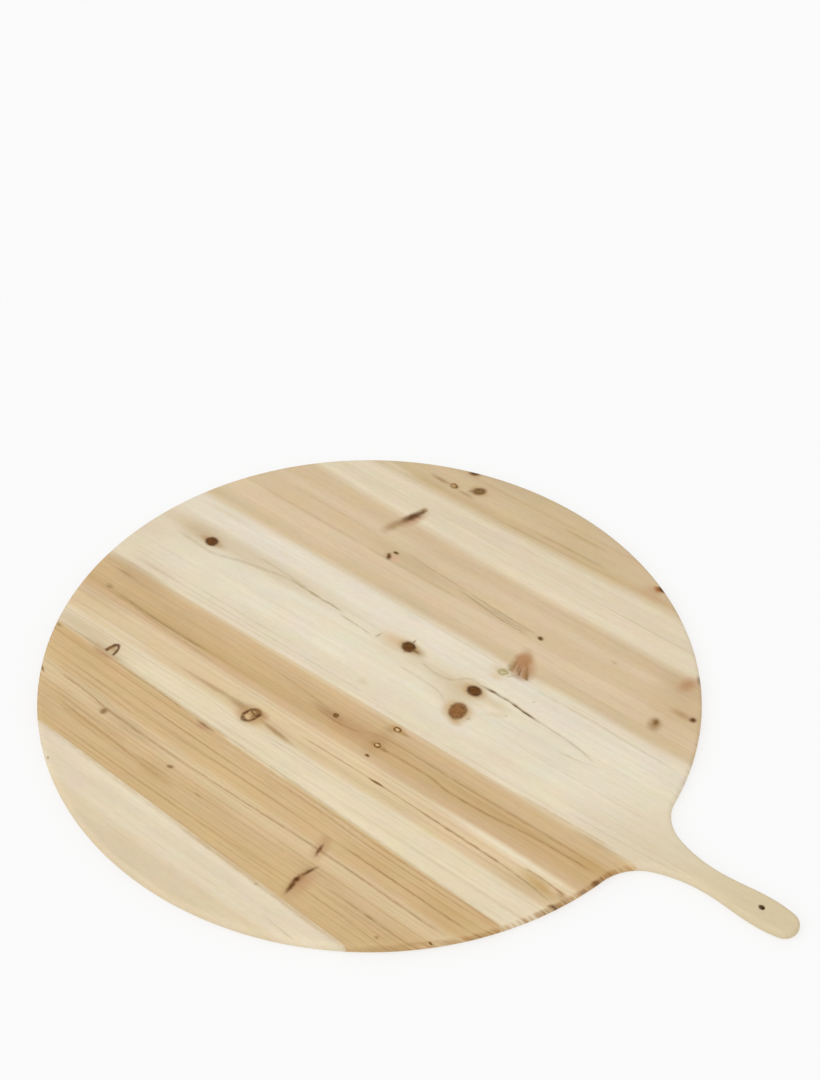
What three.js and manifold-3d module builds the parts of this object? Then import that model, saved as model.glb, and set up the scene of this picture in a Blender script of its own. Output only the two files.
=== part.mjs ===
// Round serving board with a paddle handle, cut from a panel of six fir staves glued edge to edge.
// Millimetres. X runs from the disc's centre along the handle, Z is up, and the board rests on Z = 0.

import * as THREE from 'three';
import { mergeVertices } from 'three/addons/utils/BufferGeometryUtils.js';
import loadManifold from 'manifold-3d';

// Disc and rim
const DISC_RADIUS = 250;
const THICKNESS = 9;
const EDGE_ROUND = 4; // radius of the round-over along both faces

// Neck and handle: distances along X are measured from the disc's rim, widths across the handle
const HANDLE_LENGTH = 125.4;
const NECK_FILLET = 38; // tight hollow against the disc
const NECK_SWEEP = 100; // long hollow that runs on into the waist
const WAIST_FROM_RIM = 56;
const WAIST_WIDTH = 19.6;
const GRIP_WIDTH = 25.3;
const GRIP_SWELL = 85; // radius of the long curve over the widest part of the grip
const END_DRAW_IN = 1.6; // the end round's radius is this much under half the grip's width
const FLARE_EASE = 0.4; // how far the flare holds level at each end, as a share of its run

// Hanging hole
const HOLE_DIAMETER = 4;
const HOLE_FROM_TIP = 28.8;
const HOLE_EASE = 0.3; // sanded corner at both mouths

// Panel: widths across the staves at the disc's centre. The outer two are measured in from the rim, and the
// inner left and middle right staves are ripped to fill what is left.
const OUTER_LEFT_WIDTH = 75;
const HANDLE_STAVE_LEFT = 74.4; // handle axis to the joint on its left
const HANDLE_STAVE_RIGHT = 22.9; // handle axis to the joint on its right
const INNER_RIGHT_WIDTH = 91.6;
const OUTER_RIGHT_WIDTH = 53.8;
const GLUE_FILM = 0.2;
const BOND_GAP = 0.05; // clearance between a glue film and each stave beside it

// The staves are sawn to the taper of the log, so each joint is turned from the handle's axis, in degrees
const OUTER_LEFT_TILT = -1.1;
const INNER_LEFT_TILT = -1.8;
const INNER_RIGHT_TILT = -0.1;
const MIDDLE_RIGHT_TILT = -3;
const OUTER_RIGHT_TILT = -3.5;

// Facets
const FACET_SAG = 0.06; // greatest gap between a curve and its chords
const EDGE_STEPS = 5;
const FLARE_STEPS = 8;
const HOLE_SIDES = 24;
const CUT_MARGIN = 5; // how far cutting solids stand clear of the wood

// Joints of the panel, from the left edge to the right
const JOINTS = [
  { name: 'outer_left', offset: DISC_RADIUS - OUTER_LEFT_WIDTH, tilt: OUTER_LEFT_TILT },
  { name: 'inner_left', offset: HANDLE_STAVE_LEFT, tilt: INNER_LEFT_TILT },
  { name: 'inner_right', offset: -HANDLE_STAVE_RIGHT, tilt: INNER_RIGHT_TILT },
  { name: 'middle_right', offset: -HANDLE_STAVE_RIGHT - INNER_RIGHT_WIDTH, tilt: MIDDLE_RIGHT_TILT },
  { name: 'outer_right', offset: OUTER_RIGHT_WIDTH - DISC_RADIUS, tilt: OUTER_RIGHT_TILT },
];

// Wood tones: heartwood is tan to golden, sapwood is cream
const TONES = {
  outer_left: '#d3bd9b',
  inner_left: '#d7c09f',
  handle: '#e3d6bd',
  inner_right: '#d6bd92',
  middle_right: '#d0b284',
  outer_right: '#dfd0b2',
};
const GLUE_TONE = '#c8a873';
const WOOD_ROUGHNESS = 0.62;
const GLUE_ROUGHNESS = 0.45;

const wasm = await loadManifold();
wasm.setup();

/** Closed solid of a three.js geometry. */
function toSolid(geometry) {
  geometry.deleteAttribute('normal');
  geometry.deleteAttribute('uv');
  const { attributes, index } = mergeVertices(geometry);
  const mesh = new wasm.Mesh({
    numProp: 3,
    vertProperties: new Float32Array(attributes.position.array),
    triVerts: new Uint32Array(index.array),
  });
  return new wasm.Manifold(mesh);
}

/** Geometry of a solid, for a mesh. */
function toGeometry(solid) {
  const { vertProperties, triVerts } = solid.getMesh();
  const geometry = new THREE.BufferGeometry();
  geometry.setAttribute('position', new THREE.BufferAttribute(vertProperties, 3));
  geometry.setIndex(new THREE.BufferAttribute(triVerts, 1));
  geometry.computeVertexNormals();
  return geometry;
}

/** Points along an arc, as many as the facet sag asks for; angles run from first to last either way. */
function arcPoints(centre, radius, first, last) {
  const step = 2 * Math.acos(1 - FACET_SAG / radius);
  const count = Math.max(2, Math.ceil(Math.abs(last - first) / step));
  const curve = new THREE.EllipseCurve(centre.x, centre.y, radius, radius, first, last, last < first);
  return curve.getPoints(count);
}

/** Left half of the board's outline, from the handle's tip round to the far side of the disc. */
function halfOutline() {
  const endRadius = GRIP_WIDTH / 2 - END_DRAW_IN;
  const end = new THREE.Vector2(DISC_RADIUS + HANDLE_LENGTH - endRadius, 0);

  // The swell runs from the widest part of the grip and meets the end round inside it, tangent to it.
  const swellDrop = GRIP_SWELL - GRIP_WIDTH / 2;
  const swellReach = Math.sqrt((GRIP_SWELL - endRadius) ** 2 - swellDrop ** 2);
  const swell = new THREE.Vector2(end.x - swellReach, -swellDrop);
  const swellEnd = Math.atan2(swellDrop, swellReach);

  const grip = new THREE.Vector2(swell.x, GRIP_WIDTH / 2);
  const waist = new THREE.Vector2(DISC_RADIUS + WAIST_FROM_RIM, WAIST_WIDTH / 2);
  const hold = FLARE_EASE * (grip.x - waist.x);
  const flare = new THREE.CubicBezierCurve(
    grip,
    new THREE.Vector2(grip.x - hold, grip.y),
    new THREE.Vector2(waist.x + hold, waist.y),
    waist,
  );

  // The fillet touches the disc outside and the sweep inside; the turn is where fillet and sweep meet.
  const sweep = new THREE.Vector2(waist.x, waist.y + NECK_SWEEP);
  const reach = NECK_SWEEP - NECK_FILLET;
  const far = sweep.length();
  const near = DISC_RADIUS + NECK_FILLET;
  const turn = Math.atan2(sweep.x, sweep.y) - Math.acos((far ** 2 + reach ** 2 - near ** 2) / (2 * reach * far));
  const fillet = new THREE.Vector2(sweep.x - reach * Math.sin(turn), sweep.y - reach * Math.cos(turn));
  const root = fillet.angle();

  const down = -Math.PI / 2;
  const stretches = [
    arcPoints(end, endRadius, 0, swellEnd),
    arcPoints(swell, GRIP_SWELL, swellEnd, Math.PI / 2),
    flare.getPoints(FLARE_STEPS),
    arcPoints(sweep, NECK_SWEEP, down, down - turn),
    arcPoints(fillet, NECK_FILLET, down - turn, root - Math.PI),
    arcPoints(new THREE.Vector2(), DISC_RADIUS, root, Math.PI),
  ];
  return stretches.flatMap((points, i) => (i === 0 ? points : points.slice(1)));
}

/** The whole board before it is parted into staves: the outline with both faces rounded over into the rim. */
function boardSolid() {
  const left = halfOutline();
  const right = left.slice(1, -1).reverse().map((point) => new THREE.Vector2(point.x, -point.y));
  const blank = new THREE.ExtrudeGeometry(new THREE.Shape([...left, ...right]), {
    depth: THICKNESS - 2 * EDGE_ROUND,
    bevelThickness: EDGE_ROUND,
    bevelSize: EDGE_ROUND,
    bevelOffset: -EDGE_ROUND,
    bevelSegments: EDGE_STEPS,
  });
  blank.translate(0, 0, EDGE_ROUND);
  return toSolid(blank).subtract(holeSolid());
}

/** What the drill and the sanding take out of the handle: a bore that opens at both mouths. */
function holeSolid() {
  const bore = HOLE_DIAMETER / 2;
  const mouth = bore + HOLE_EASE + CUT_MARGIN;
  const profile = [
    new THREE.Vector2(0, -CUT_MARGIN),
    new THREE.Vector2(mouth, -CUT_MARGIN),
    new THREE.Vector2(bore, HOLE_EASE),
    new THREE.Vector2(bore, THICKNESS - HOLE_EASE),
    new THREE.Vector2(mouth, THICKNESS + CUT_MARGIN),
    new THREE.Vector2(0, THICKNESS + CUT_MARGIN),
  ];
  const drill = new THREE.LatheGeometry(profile, HOLE_SIDES);
  drill.rotateX(Math.PI / 2);
  drill.translate(DISC_RADIUS + HANDLE_LENGTH - HOLE_FROM_TIP, 0, 0);
  return toSolid(drill);
}

/** Ends of a line beside a joint, shifted square to it, well past both ends of the board. */
function besideJoint({ offset, tilt }, shift) {
  const angle = THREE.MathUtils.degToRad(tilt);
  const reach = DISC_RADIUS + HANDLE_LENGTH + CUT_MARGIN;
  const middle = offset + shift / Math.cos(angle);
  const rise = reach * Math.tan(angle);
  return [new THREE.Vector2(-reach, middle - rise), new THREE.Vector2(reach, middle + rise)];
}

/** Upright slab of the panel between two such lines, the first on the right and the second on the left. */
function slabSolid([rightTail, rightTip], [leftTail, leftTip]) {
  const shape = new THREE.Shape([rightTail, rightTip, leftTip, leftTail]);
  const slab = new THREE.ExtrudeGeometry(shape, {
    depth: THICKNESS + 2 * CUT_MARGIN,
    bevelEnabled: false,
  });
  slab.translate(0, 0, -CUT_MARGIN);
  return toSolid(slab);
}

/** Named mesh of the wood or the glue that a slab takes from the board. */
function cutPiece(name, board, slab, color, roughness) {
  const material = new THREE.MeshStandardMaterial({ color, roughness, metalness: 0 });
  const mesh = new THREE.Mesh(toGeometry(board.intersect(slab)), material);
  mesh.name = name;
  return mesh;
}

/** A stave takes its name from the joint on its inner side; the one that spans the axis has the handle. */
function staveName(left, right) {
  if (right.offset > 0) return right.name;
  if (left.offset < 0) return left.name;
  return 'handle';
}

/** The six staves and the glue films between them, as one group. */
function buildBoard() {
  const board = boardSolid();
  const group = new THREE.Group();
  const filmHalf = GLUE_FILM / 2;
  const woodHalf = filmHalf + BOND_GAP;
  const rim = DISC_RADIUS + CUT_MARGIN;
  const edges = [{ offset: rim, tilt: 0 }, ...JOINTS, { offset: -rim, tilt: 0 }];
  for (let i = 0; i + 1 < edges.length; i += 1) {
    const left = edges[i];
    const right = edges[i + 1];
    const name = staveName(left, right);
    const slab = slabSolid(besideJoint(right, woodHalf), besideJoint(left, -woodHalf));
    group.add(cutPiece(`stave_${name}`, board, slab, TONES[name], WOOD_ROUGHNESS));
  }
  for (const joint of JOINTS) {
    const slab = slabSolid(besideJoint(joint, -filmHalf), besideJoint(joint, filmHalf));
    group.add(cutPiece(`glue_line_${joint.name}`, board, slab, GLUE_TONE, GLUE_ROUGHNESS));
  }
  return group;
}

export default buildBoard();
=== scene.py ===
"""Looks of a round fir cheese board with a paddle handle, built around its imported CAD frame.

Lengths are millimetres in the CAD's own frame: X runs along the handle from the disc's centre, Y to the
left of the handle and Z up from the underside. Meshes are written in metres.
"""

import logging
import math
from dataclasses import dataclass, field
from enum import Enum
from typing import ClassVar

import bmesh
import bpy
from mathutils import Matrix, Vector


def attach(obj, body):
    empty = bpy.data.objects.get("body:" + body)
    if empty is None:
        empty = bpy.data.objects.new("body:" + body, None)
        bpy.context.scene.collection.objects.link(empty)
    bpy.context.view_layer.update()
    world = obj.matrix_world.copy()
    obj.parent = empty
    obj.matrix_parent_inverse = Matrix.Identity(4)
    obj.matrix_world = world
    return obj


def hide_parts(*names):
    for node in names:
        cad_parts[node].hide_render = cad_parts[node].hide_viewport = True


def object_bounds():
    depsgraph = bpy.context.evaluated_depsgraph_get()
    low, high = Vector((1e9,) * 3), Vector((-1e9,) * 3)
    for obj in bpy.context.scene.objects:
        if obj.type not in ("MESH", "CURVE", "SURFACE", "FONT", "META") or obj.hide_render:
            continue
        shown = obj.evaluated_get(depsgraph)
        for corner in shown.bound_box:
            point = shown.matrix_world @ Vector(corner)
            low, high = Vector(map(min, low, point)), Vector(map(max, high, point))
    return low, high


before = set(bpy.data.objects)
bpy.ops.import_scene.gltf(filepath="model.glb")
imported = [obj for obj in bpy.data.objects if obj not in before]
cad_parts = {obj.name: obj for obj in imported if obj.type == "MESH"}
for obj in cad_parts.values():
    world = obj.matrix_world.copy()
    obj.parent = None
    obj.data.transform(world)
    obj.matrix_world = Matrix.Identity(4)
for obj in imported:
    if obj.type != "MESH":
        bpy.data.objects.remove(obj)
CAD_LOW, CAD_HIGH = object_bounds()

LOG = logging.getLogger("cheese_board")
BODY = "root"

MM = 0.001
THICKNESS = CAD_HIGH.z / MM
DISC_RADIUS = -CAD_LOW.x / MM
HANDLE_LENGTH = CAD_HIGH.x / MM - DISC_RADIUS

# Cutting solids stand this far clear of the wood
CUT_MARGIN = 2.0

Colour = tuple[float, float, float, float]
Point = tuple[float, float]  # a place on the top face, or a length and a width
Span = tuple[float, float]  # a first and a last value
Plug = bpy.types.Node | bpy.types.NodeSocket | float | tuple[float, ...]  # what a node's input takes


def linear(tone: str) -> Colour:
    """Turns an sRGB hex colour into the linear colour that Blender's sockets take.

    Args:
        tone: Colour as "#rrggbb".

    Returns:
        Linear red, green and blue, with an alpha of 1.
    """
    shares = [int(tone[i : i + 2], 16) / 255 for i in (1, 3, 5)]
    # The standard sRGB curve, straight near black and a power above it
    red, green, blue = (s / 12.92 if s <= 0.04045 else ((s + 0.055) / 1.055) ** 2.4 for s in shares)
    return (red, green, blue, 1.0)


def add_node(
    tree: bpy.types.NodeTree, kind: str, inputs: dict[str | int, Plug] | None = None, **settings: object
) -> bpy.types.Node:
    """Adds a shader node with its settings, values and links.

    Args:
        tree: Node tree that takes the node.
        kind: Blender's name of the node type, without the leading ShaderNode.
        inputs: Values and links by input name or number. A node stands for its first enabled output.
        **settings: Attributes of the node itself, such as its operation.

    Returns:
        The new node.
    """
    node = tree.nodes.new("ShaderNode" + kind)
    for name, value in settings.items():
        setattr(node, name, value)
    for key, value in (inputs or {}).items():
        if isinstance(key, int):
            plug = node.inputs[key]
        else:
            plug = next(p for p in node.inputs if p.enabled and p.name == key)
        if isinstance(value, bpy.types.Node):
            value = next(p for p in value.outputs if p.enabled)
        if isinstance(value, bpy.types.NodeSocket):
            tree.links.new(value, plug)
        else:
            plug.default_value = value
    return node


def new_material(name: str) -> tuple[bpy.types.Material, bpy.types.NodeTree]:
    """Makes an empty node material.

    Args:
        name: Name of the material and of how its surface was made.

    Returns:
        The material and its cleared node tree.
    """
    material = bpy.data.materials.new(name)
    material.use_nodes = True
    material.node_tree.nodes.clear()
    return material, material.node_tree


def new_object(name: str, mesh: bpy.types.Mesh) -> bpy.types.Object:
    """Puts a mesh into the scene under a name of its own.

    Args:
        name: Name of the object.
        mesh: Mesh in metres, already in place.

    Returns:
        The new object, at the origin.
    """
    made = bpy.data.objects.new(name, mesh)
    bpy.context.scene.collection.objects.link(made)
    return made


@dataclass(frozen=True)
class KnotTones:
    """Colours of one kind of knot, from its edge inwards and out into the wood."""

    rim: str
    centre: str
    halo: str
    rim_share: float  # how much of the knot's radius the dark rim takes
    cover: float = 1.0  # how fully the knot hides the wood
    soft: float = 0.6  # how gradually it passes into the wood, as a share of its radius
    rings: float = 0.3  # how strongly the branch's own rings show


class KnotKind(Enum):
    """Kinds of knot in a fir board."""

    DEAD = KnotTones("#492704", "#6a4114", "#bd9a68", 0.45, soft=0.65, rings=0.1)
    WORN = KnotTones("#55350b", "#7e5e2e", "#bd9b6c", 0.6, cover=0.93, soft=0.95)
    LIVE = KnotTones("#6d4620", "#926538", "#c8a672", 0.3, soft=0.55, rings=0.3)
    RED = KnotTones("#a8754a", "#ae7b4e", "#c9a57c", 0.5, cover=0.75, soft=1.1)
    RINGED = KnotTones("#593509", "#c4a170", "#b98f5c", 0.38, cover=0.92, soft=0.45)
    OLIVE = KnotTones("#9c8f5c", "#c6b98b", "#d3c39c", 0.6, cover=0.8, soft=0.7)
    PIN = KnotTones("#693f10", "#d8b480", "#b8925f", 0.7, soft=0.5)
    DOT = KnotTones("#5a380a", "#8a6434", "#b48f60", 0.5, soft=0.8)
    SPECK = KnotTones("#573508", "#62400f", "#b99468", 0.5, cover=0.95, soft=1.15)
    BUD = KnotTones("#644317", "#6b4a1e", "#b99468", 0.5, cover=0.64, soft=1.15)
    FAINT = KnotTones("#8a6a3d", "#97774a", "#bd9a66", 0.5, cover=0.5, soft=0.9)


@dataclass(frozen=True)
class Knot:
    """A branch that runs through the board, seen as an oval on its face."""

    at: Point
    size: Point  # longest and shortest width
    kind: KnotKind
    turn: float = 0.0  # degrees from the handle's axis to the longest width
    halo: float = 0.8  # strength of the stained wood round it
    reach: float = 2.2  # how far the stain runs along the grain, in knot widths
    bend: float = 0.0  # share by which the rings part to go round it
    gap: float = 0.0  # width of the open check between knot and wood


class StainAndShadeTone(Enum):
    """Colours of lines and soft staining in the wood, and of the painted shade in the hanging hole and on
    the near rim.
    """

    BARK = "#5b3204"
    RESIN = "#6e5022"
    BROWN = "#946a36"
    CINNAMON = "#a0642f"
    RUST = "#b58660"
    UMBER = "#b0936a"
    PINK = "#dbb394"
    BLUSH = "#d4b38b"
    PEACH = "#dcbf98"
    TAN = "#cbb38d"
    OLIVE = "#a39166"
    OCHRE = "#bd9960"
    CREAM = "#ecdfc3"
    HANDLE = "#d5c4a1"


@dataclass(frozen=True)
class Streak:
    """A spindle-shaped mark that fades towards its edges and ends: mostly staining in the wood, in a few
    places painted shade.
    """

    at: Point
    size: Point  # length and width
    tone: StainAndShadeTone
    strength: float = 0.6
    turn: float = 0.0  # degrees from the handle's axis
    solid: float = 0.0  # share of the width that has the full strength


@dataclass(frozen=True)
class GrainLine:
    """A fine line that runs along the grain through the given points."""

    path: tuple[Point, ...]
    width: float
    tone: StainAndShadeTone
    strength: float = 0.6
    fade: float = 0.18  # share of its length over which each end dies away


@dataclass(frozen=True)
class Crack:
    """A drying crack: an opening in the top face, with a dark line drawn along it."""

    path: tuple[Point, ...]
    width: float
    depth: float
    stain_width: float = 3.4  # in widths of the opening
    line_strength: float = 0.95
    line_fade: float = 0.3

    def stain(self) -> GrainLine:
        """Gives the dark line that shows where the crack runs."""
        width = self.stain_width * self.width
        return GrainLine(self.path, width, StainAndShadeTone.RESIN, self.line_strength, self.line_fade)


DRYING_CRACK = Crack(
    path=((95.4, 46.2), (101.4, 45.6), (108.5, 44.8), (115.5, 44.1), (124.5, 43.4)),
    width=0.5,
    depth=1.2,
)


@dataclass(frozen=True)
class ToneEdge:
    """A place across the stave where the wood turns to another tone, such as sapwood to heartwood."""

    at: float
    blur: float
    tone: str
    skew: float = 0.0  # how far the edge strays across the grain, per length along it
    curl: float = 0.0  # how far it bends away, per length squared


@dataclass(frozen=True)
class Grain:
    """Sockets that every layer of a fir finish reads."""

    solid: bpy.types.Node  # place in the wood, in millimetres
    flat: bpy.types.Node  # that place carried along the rings to the top face
    ragged: bpy.types.Node  # the same, roughened for the edges of knots and streaks
    patchy: bpy.types.Node  # how strongly lines show, which comes and goes along them
    along: bpy.types.Node  # place along the grain
    across: bpy.types.Node  # place across it, the same all along a ring
    end: bpy.types.Node  # 0 on side grain and 1 on end grain


@dataclass(frozen=True)
class FirFinish:
    """Planed and sanded fir, left bare: a matt, close surface with growth rings, sapwood and knots."""

    name: str
    start: str  # tone beside the stave's right edge
    edges: tuple[ToneEdge, ...]
    latewood: str
    ring_width: float
    ring_strength: float
    late_share: float = 0.6  # how much of a ring is dark latewood
    slope: float = 0.0  # run of the grain across the handle's axis, per length along it
    bow: float = 0.0  # bend of the grain, per length squared
    lean: float = 0.5  # how far the rings lean across the grain, per depth
    knots: tuple[Knot, ...] = ()
    # Stains under the knots, and the painted shade on the near rim; the streaks over them also hold the
    # painted shade in the hanging hole
    stains_and_shade: tuple[Streak, ...] = ()  # under the knots
    streaks: tuple[Streak, ...] = ()  # over them
    lines: tuple[GrainLine, ...] = ()
    thirst: float = 0.06  # how much end grain darkens
    seed: float = 0.0

    # What all fir shares. A size is a length along the grain and a width across it, in millimetres. A noise
    # span holds the values of a noise at which a change starts and ends.
    NOISE_MIDDLE: ClassVar[float] = 0.5

    # Growth rings
    WAVE_SIZE: ClassVar[Point] = (170.0, 45.0)  # slow waves that the rings run in
    WAVE_HEIGHT: ClassVar[float] = 1.3
    SEASON_PITCH: ClassVar[float] = 0.37  # changes between wide and narrow rings, per ring
    SEASON_SWING: ClassVar[float] = 2.6  # how far these shift a ring, in rings
    LATE_EDGE: ClassVar[float] = 0.94  # where in a year's growth the latewood ends
    FAINTEST_RING: ClassVar[float] = 0.2
    FADE_SIZE: ClassVar[Point] = (130.0, 9.0)  # stretches where a ring comes and goes
    FADE_NOISE: ClassVar[Span] = (0.3, 0.65)
    FADED: ClassVar[float] = 0.3  # how much of it is left where it goes
    END_RINGS: ClassVar[float] = 0.45  # how much more strongly rings show on end grain
    PARTED_SIZE: ClassVar[Point] = (5.2, 3.4)  # how far round a knot rings part, in its lengths and widths
    PARTED_CORE: ClassVar[float] = 0.1  # share of that oval in which they part the most

    # Clear wood
    MOTTLE_SIZE: ClassVar[Point] = (100.0, 18.0)  # lighter and darker patches
    MOTTLE_NOISE: ClassVar[Span] = (0.25, 0.75)
    MOTTLE_LEVEL: ClassVar[Span] = (0.945, 1.05)
    BLOTCH_SIZE: ClassVar[Point] = (24.0, 9.0)  # patches where the wood is a little redder or greener
    BLOTCH_NOISE: ClassVar[Span] = (0.3, 0.7)
    BLOTCH_TINT: ClassVar[tuple[float, float, float]] = (0.025, 0.02, 0.04)
    RESIN_SIZE: ClassVar[Point] = (26.0, 0.7)  # short resin lines, drawn twice as wide as they are
    RESIN_NOISE: ClassVar[Span] = (0.64, 0.76)
    RESIN_STRENGTH: ClassVar[float] = 0.2

    # Knots, streaks and lines
    BRANCH_LEAN: ClassVar[float] = 0.35  # how far a branch leans along the grain, per depth
    BRANCH_RINGS: ClassVar[float] = 17.0  # radians of the rings' wave from a knot's middle to its edge
    RAGGED_SIZE: ClassVar[Point] = (7.0, 3.2)  # fibres that fray the edges of a mark
    RAGGED_HEIGHT: ClassVar[Point] = (1.3, 0.7)
    PATCH_SIZE: ClassVar[Point] = (8.0, 3.2)  # stretches where a line comes and goes
    PATCH_NOISE: ClassVar[Span] = (0.35, 0.6)
    PATCH_STRENGTH: ClassVar[Span] = (0.5, 0.9)
    SPECKLE_SIZE: ClassVar[Point] = (3.4, 2.6)  # dark and paler spots in a knot
    SPECKLE_NOISE: ClassVar[Span] = (0.3, 0.7)
    SPECKLE_SWING: ClassVar[Span] = (-0.75, 0.5)
    RIM_PARTS: ClassVar[float] = 3.0  # the outermost of so many parts of a knot's rim has its full colour
    HALO_WIDTH: ClassVar[float] = 1.5  # width of a knot's stain across the grain, in knot widths
    HALO_CORE: ClassVar[float] = 0.3  # share of the stain that has its full strength
    LEAST_RISE: ClassVar[float] = 1.0  # height that a line's curve is drawn over, even where it runs level

    # Surface
    FIBRE_SIZE: ClassVar[Point] = (60.0, 1.5)  # drawn some forty times as wide as a fibre, so that it shows
    FLECK_SIZE: ClassVar[Point] = (5.0, 1.7)  # fibres that sanding broke, drawn as coarsely
    FLECK_SHARE: ClassVar[float] = 0.45
    FIBRE_NOISE: ClassVar[Span] = (0.3, 0.7)
    FIBRE_LEVEL: ClassVar[Span] = (0.946, 1.053)
    END_FACING: ClassVar[Span] = (0.3, 0.95)  # facing along the grain, from side grain to end grain
    END_GRAIN: ClassVar[str] = "#cfa976"
    HATCH_SIZE: ClassVar[Point] = (300.0, 1.8)  # ends of the rings on the rim
    HATCH_NOISE: ClassVar[Span] = (0.38, 0.62)
    ROUGHNESS: ClassVar[Span] = (0.58, 0.7)
    LATE_RELIEF: ClassVar[float] = 0.8  # how far hard latewood stands up beside the fibres' own relief
    BUMP_HEIGHT: ClassVar[float] = 0.06
    BUMP_STRENGTH: ClassVar[float] = 0.5
    REFRACTION: ClassVar[float] = 1.52
    SURFACE_SHINE: ClassVar[float] = 0.14  # raw fibres scatter most of what a smooth surface would mirror

    def material(self) -> bpy.types.Material:
        """Makes the material with all its layers.

        Returns:
            The material, ready for a stave.
        """
        material, tree = new_material(self.name)
        grain = self.lay_grain(tree)
        late = self.draw_rings(tree, grain)
        tone = self.shade_wood(tree, grain, late)
        for stain in self.stains_and_shade:
            tone = self.draw_streak(tree, grain, tone, stain)
        for knot in self.knots:
            tone = self.draw_knot(tree, grain, tone, knot)
        for streak in self.streaks:
            tone = self.draw_streak(tree, grain, tone, streak)
        for line in self.lines:
            tone = self.draw_line(tree, grain, tone, line)
        self.finish_surface(tree, grain, tone, late)
        return material

    def lay_grain(self, tree: bpy.types.NodeTree) -> Grain:
        """Works out where a point lies along, across and through the grain.

        Args:
            tree: Node tree of the material.

        Returns:
            The sockets that the other layers read.
        """
        place = add_node(tree, "TexCoord")
        solid = add_node(
            tree, "VectorMath", {0: place.outputs["Object"], "Scale": 1 / MM}, operation="SCALE"
        )
        axes = add_node(tree, "SeparateXYZ", {0: solid}).outputs
        depth = add_node(tree, "Math", {0: axes["Z"], 1: THICKNESS}, operation="SUBTRACT")
        along = add_node(
            tree, "Math", {0: depth, 1: self.BRANCH_LEAN, 2: axes["X"]}, operation="MULTIPLY_ADD"
        )
        aside = add_node(tree, "Math", {0: depth, 1: self.lean, 2: axes["Y"]}, operation="MULTIPLY_ADD")
        flat = add_node(tree, "CombineXYZ", {"X": along, "Y": aside})
        ragged = self.roughen(tree, flat)
        low, high = self.PATCH_NOISE
        faint, strong = self.PATCH_STRENGTH
        patchy = add_node(
            tree,
            "MapRange",
            {
                "Value": self.noise(tree, flat, self.PATCH_SIZE),
                "From Min": low,
                "From Max": high,
                "To Min": faint,
                "To Max": strong,
            },
        )

        level = self.straighten(tree, along, aside, self.slope, self.bow)
        wave = self.noise(tree, flat, self.WAVE_SIZE)
        sway = add_node(tree, "Math", {0: wave, 1: self.NOISE_MIDDLE}, operation="SUBTRACT")
        across = add_node(
            tree, "Math", {0: sway, 1: 2 * self.WAVE_HEIGHT, 2: level}, operation="MULTIPLY_ADD"
        )
        for knot in self.knots:
            if knot.bend:
                across = self.part_rings(tree, flat, across, knot)

        facing = add_node(tree, "SeparateXYZ", {0: place.outputs["Normal"]}).outputs["X"]
        square = add_node(tree, "Math", {0: facing}, operation="ABSOLUTE")
        side_grain, end_grain = self.END_FACING
        end = add_node(
            tree,
            "MapRange",
            {"Value": square, "From Min": side_grain, "From Max": end_grain},
            interpolation_type="SMOOTHSTEP",
        )
        return Grain(solid, flat, ragged, patchy, along, across, end)

    def straighten(
        self, tree: bpy.types.NodeTree, along: Plug, across: Plug, slope: float, bow: float
    ) -> bpy.types.Node:
        """Takes a slope per length and a bow per length squared out of a place across the grain."""
        pitch = add_node(tree, "Math", {0: along, 1: -bow, 2: -slope}, operation="MULTIPLY_ADD")
        return add_node(tree, "Math", {0: along, 1: pitch, 2: across}, operation="MULTIPLY_ADD")

    def noise(
        self, tree: bpy.types.NodeTree, place: bpy.types.Node, size: Point, detail: float = 2.0
    ) -> bpy.types.Node:
        """Adds noise that is stretched along the grain.

        Args:
            tree: Node tree of the material.
            place: Place to read it at, in millimetres.
            size: Length and width of its patches in millimetres.
            detail: Number of finer layers.

        Returns:
            The noise, from 0 to 1.
        """
        length, width = size
        spread = add_node(
            tree, "VectorMath", {0: place, 1: (1 / length, 1 / width, 1 / width)}, operation="MULTIPLY"
        )
        inputs = {"Vector": spread, "W": self.seed, "Scale": 1.0, "Detail": detail}
        return add_node(tree, "TexNoise", inputs, noise_dimensions="4D")

    def roughen(self, tree: bpy.types.NodeTree, flat: bpy.types.Node) -> bpy.types.Node:
        """Shifts places a little at random, so that knots and streaks have fibrous edges.

        Args:
            tree: Node tree of the material.
            flat: Place on the top face.

        Returns:
            The shifted place.
        """
        stir = self.noise(tree, flat, self.RAGGED_SIZE)
        length, width = self.RAGGED_HEIGHT
        shift = add_node(
            tree,
            "VectorMath",
            {0: stir.outputs["Color"], 1: (2 * length, 2 * width, 0.0), 2: (-length, -width, 0.0)},
            operation="MULTIPLY_ADD",
        )
        return add_node(tree, "VectorMath", {0: flat, 1: shift}, operation="ADD")

    def distance(
        self, tree: bpy.types.NodeTree, place: bpy.types.Node, at: Point, size: Point, turn: float = 0.0
    ) -> bpy.types.NodeSocket:
        """Measures how far a place is from the middle of an oval.

        Args:
            tree: Node tree of the material.
            place: Place on the top face.
            at: Middle of the oval.
            size: Length and width of the oval.
            turn: Degrees from the handle's axis to the oval's length.

        Returns:
            Distance, which is 1 on the oval itself.
        """
        local = add_node(
            tree,
            "Mapping",
            {
                "Vector": place,
                "Location": (*at, 0.0),
                "Rotation": (0.0, 0.0, math.radians(turn)),
                "Scale": (size[0] / 2, size[1] / 2, 1.0),
            },
            vector_type="TEXTURE",
        )
        return add_node(tree, "VectorMath", {0: local}, operation="LENGTH").outputs["Value"]

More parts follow.
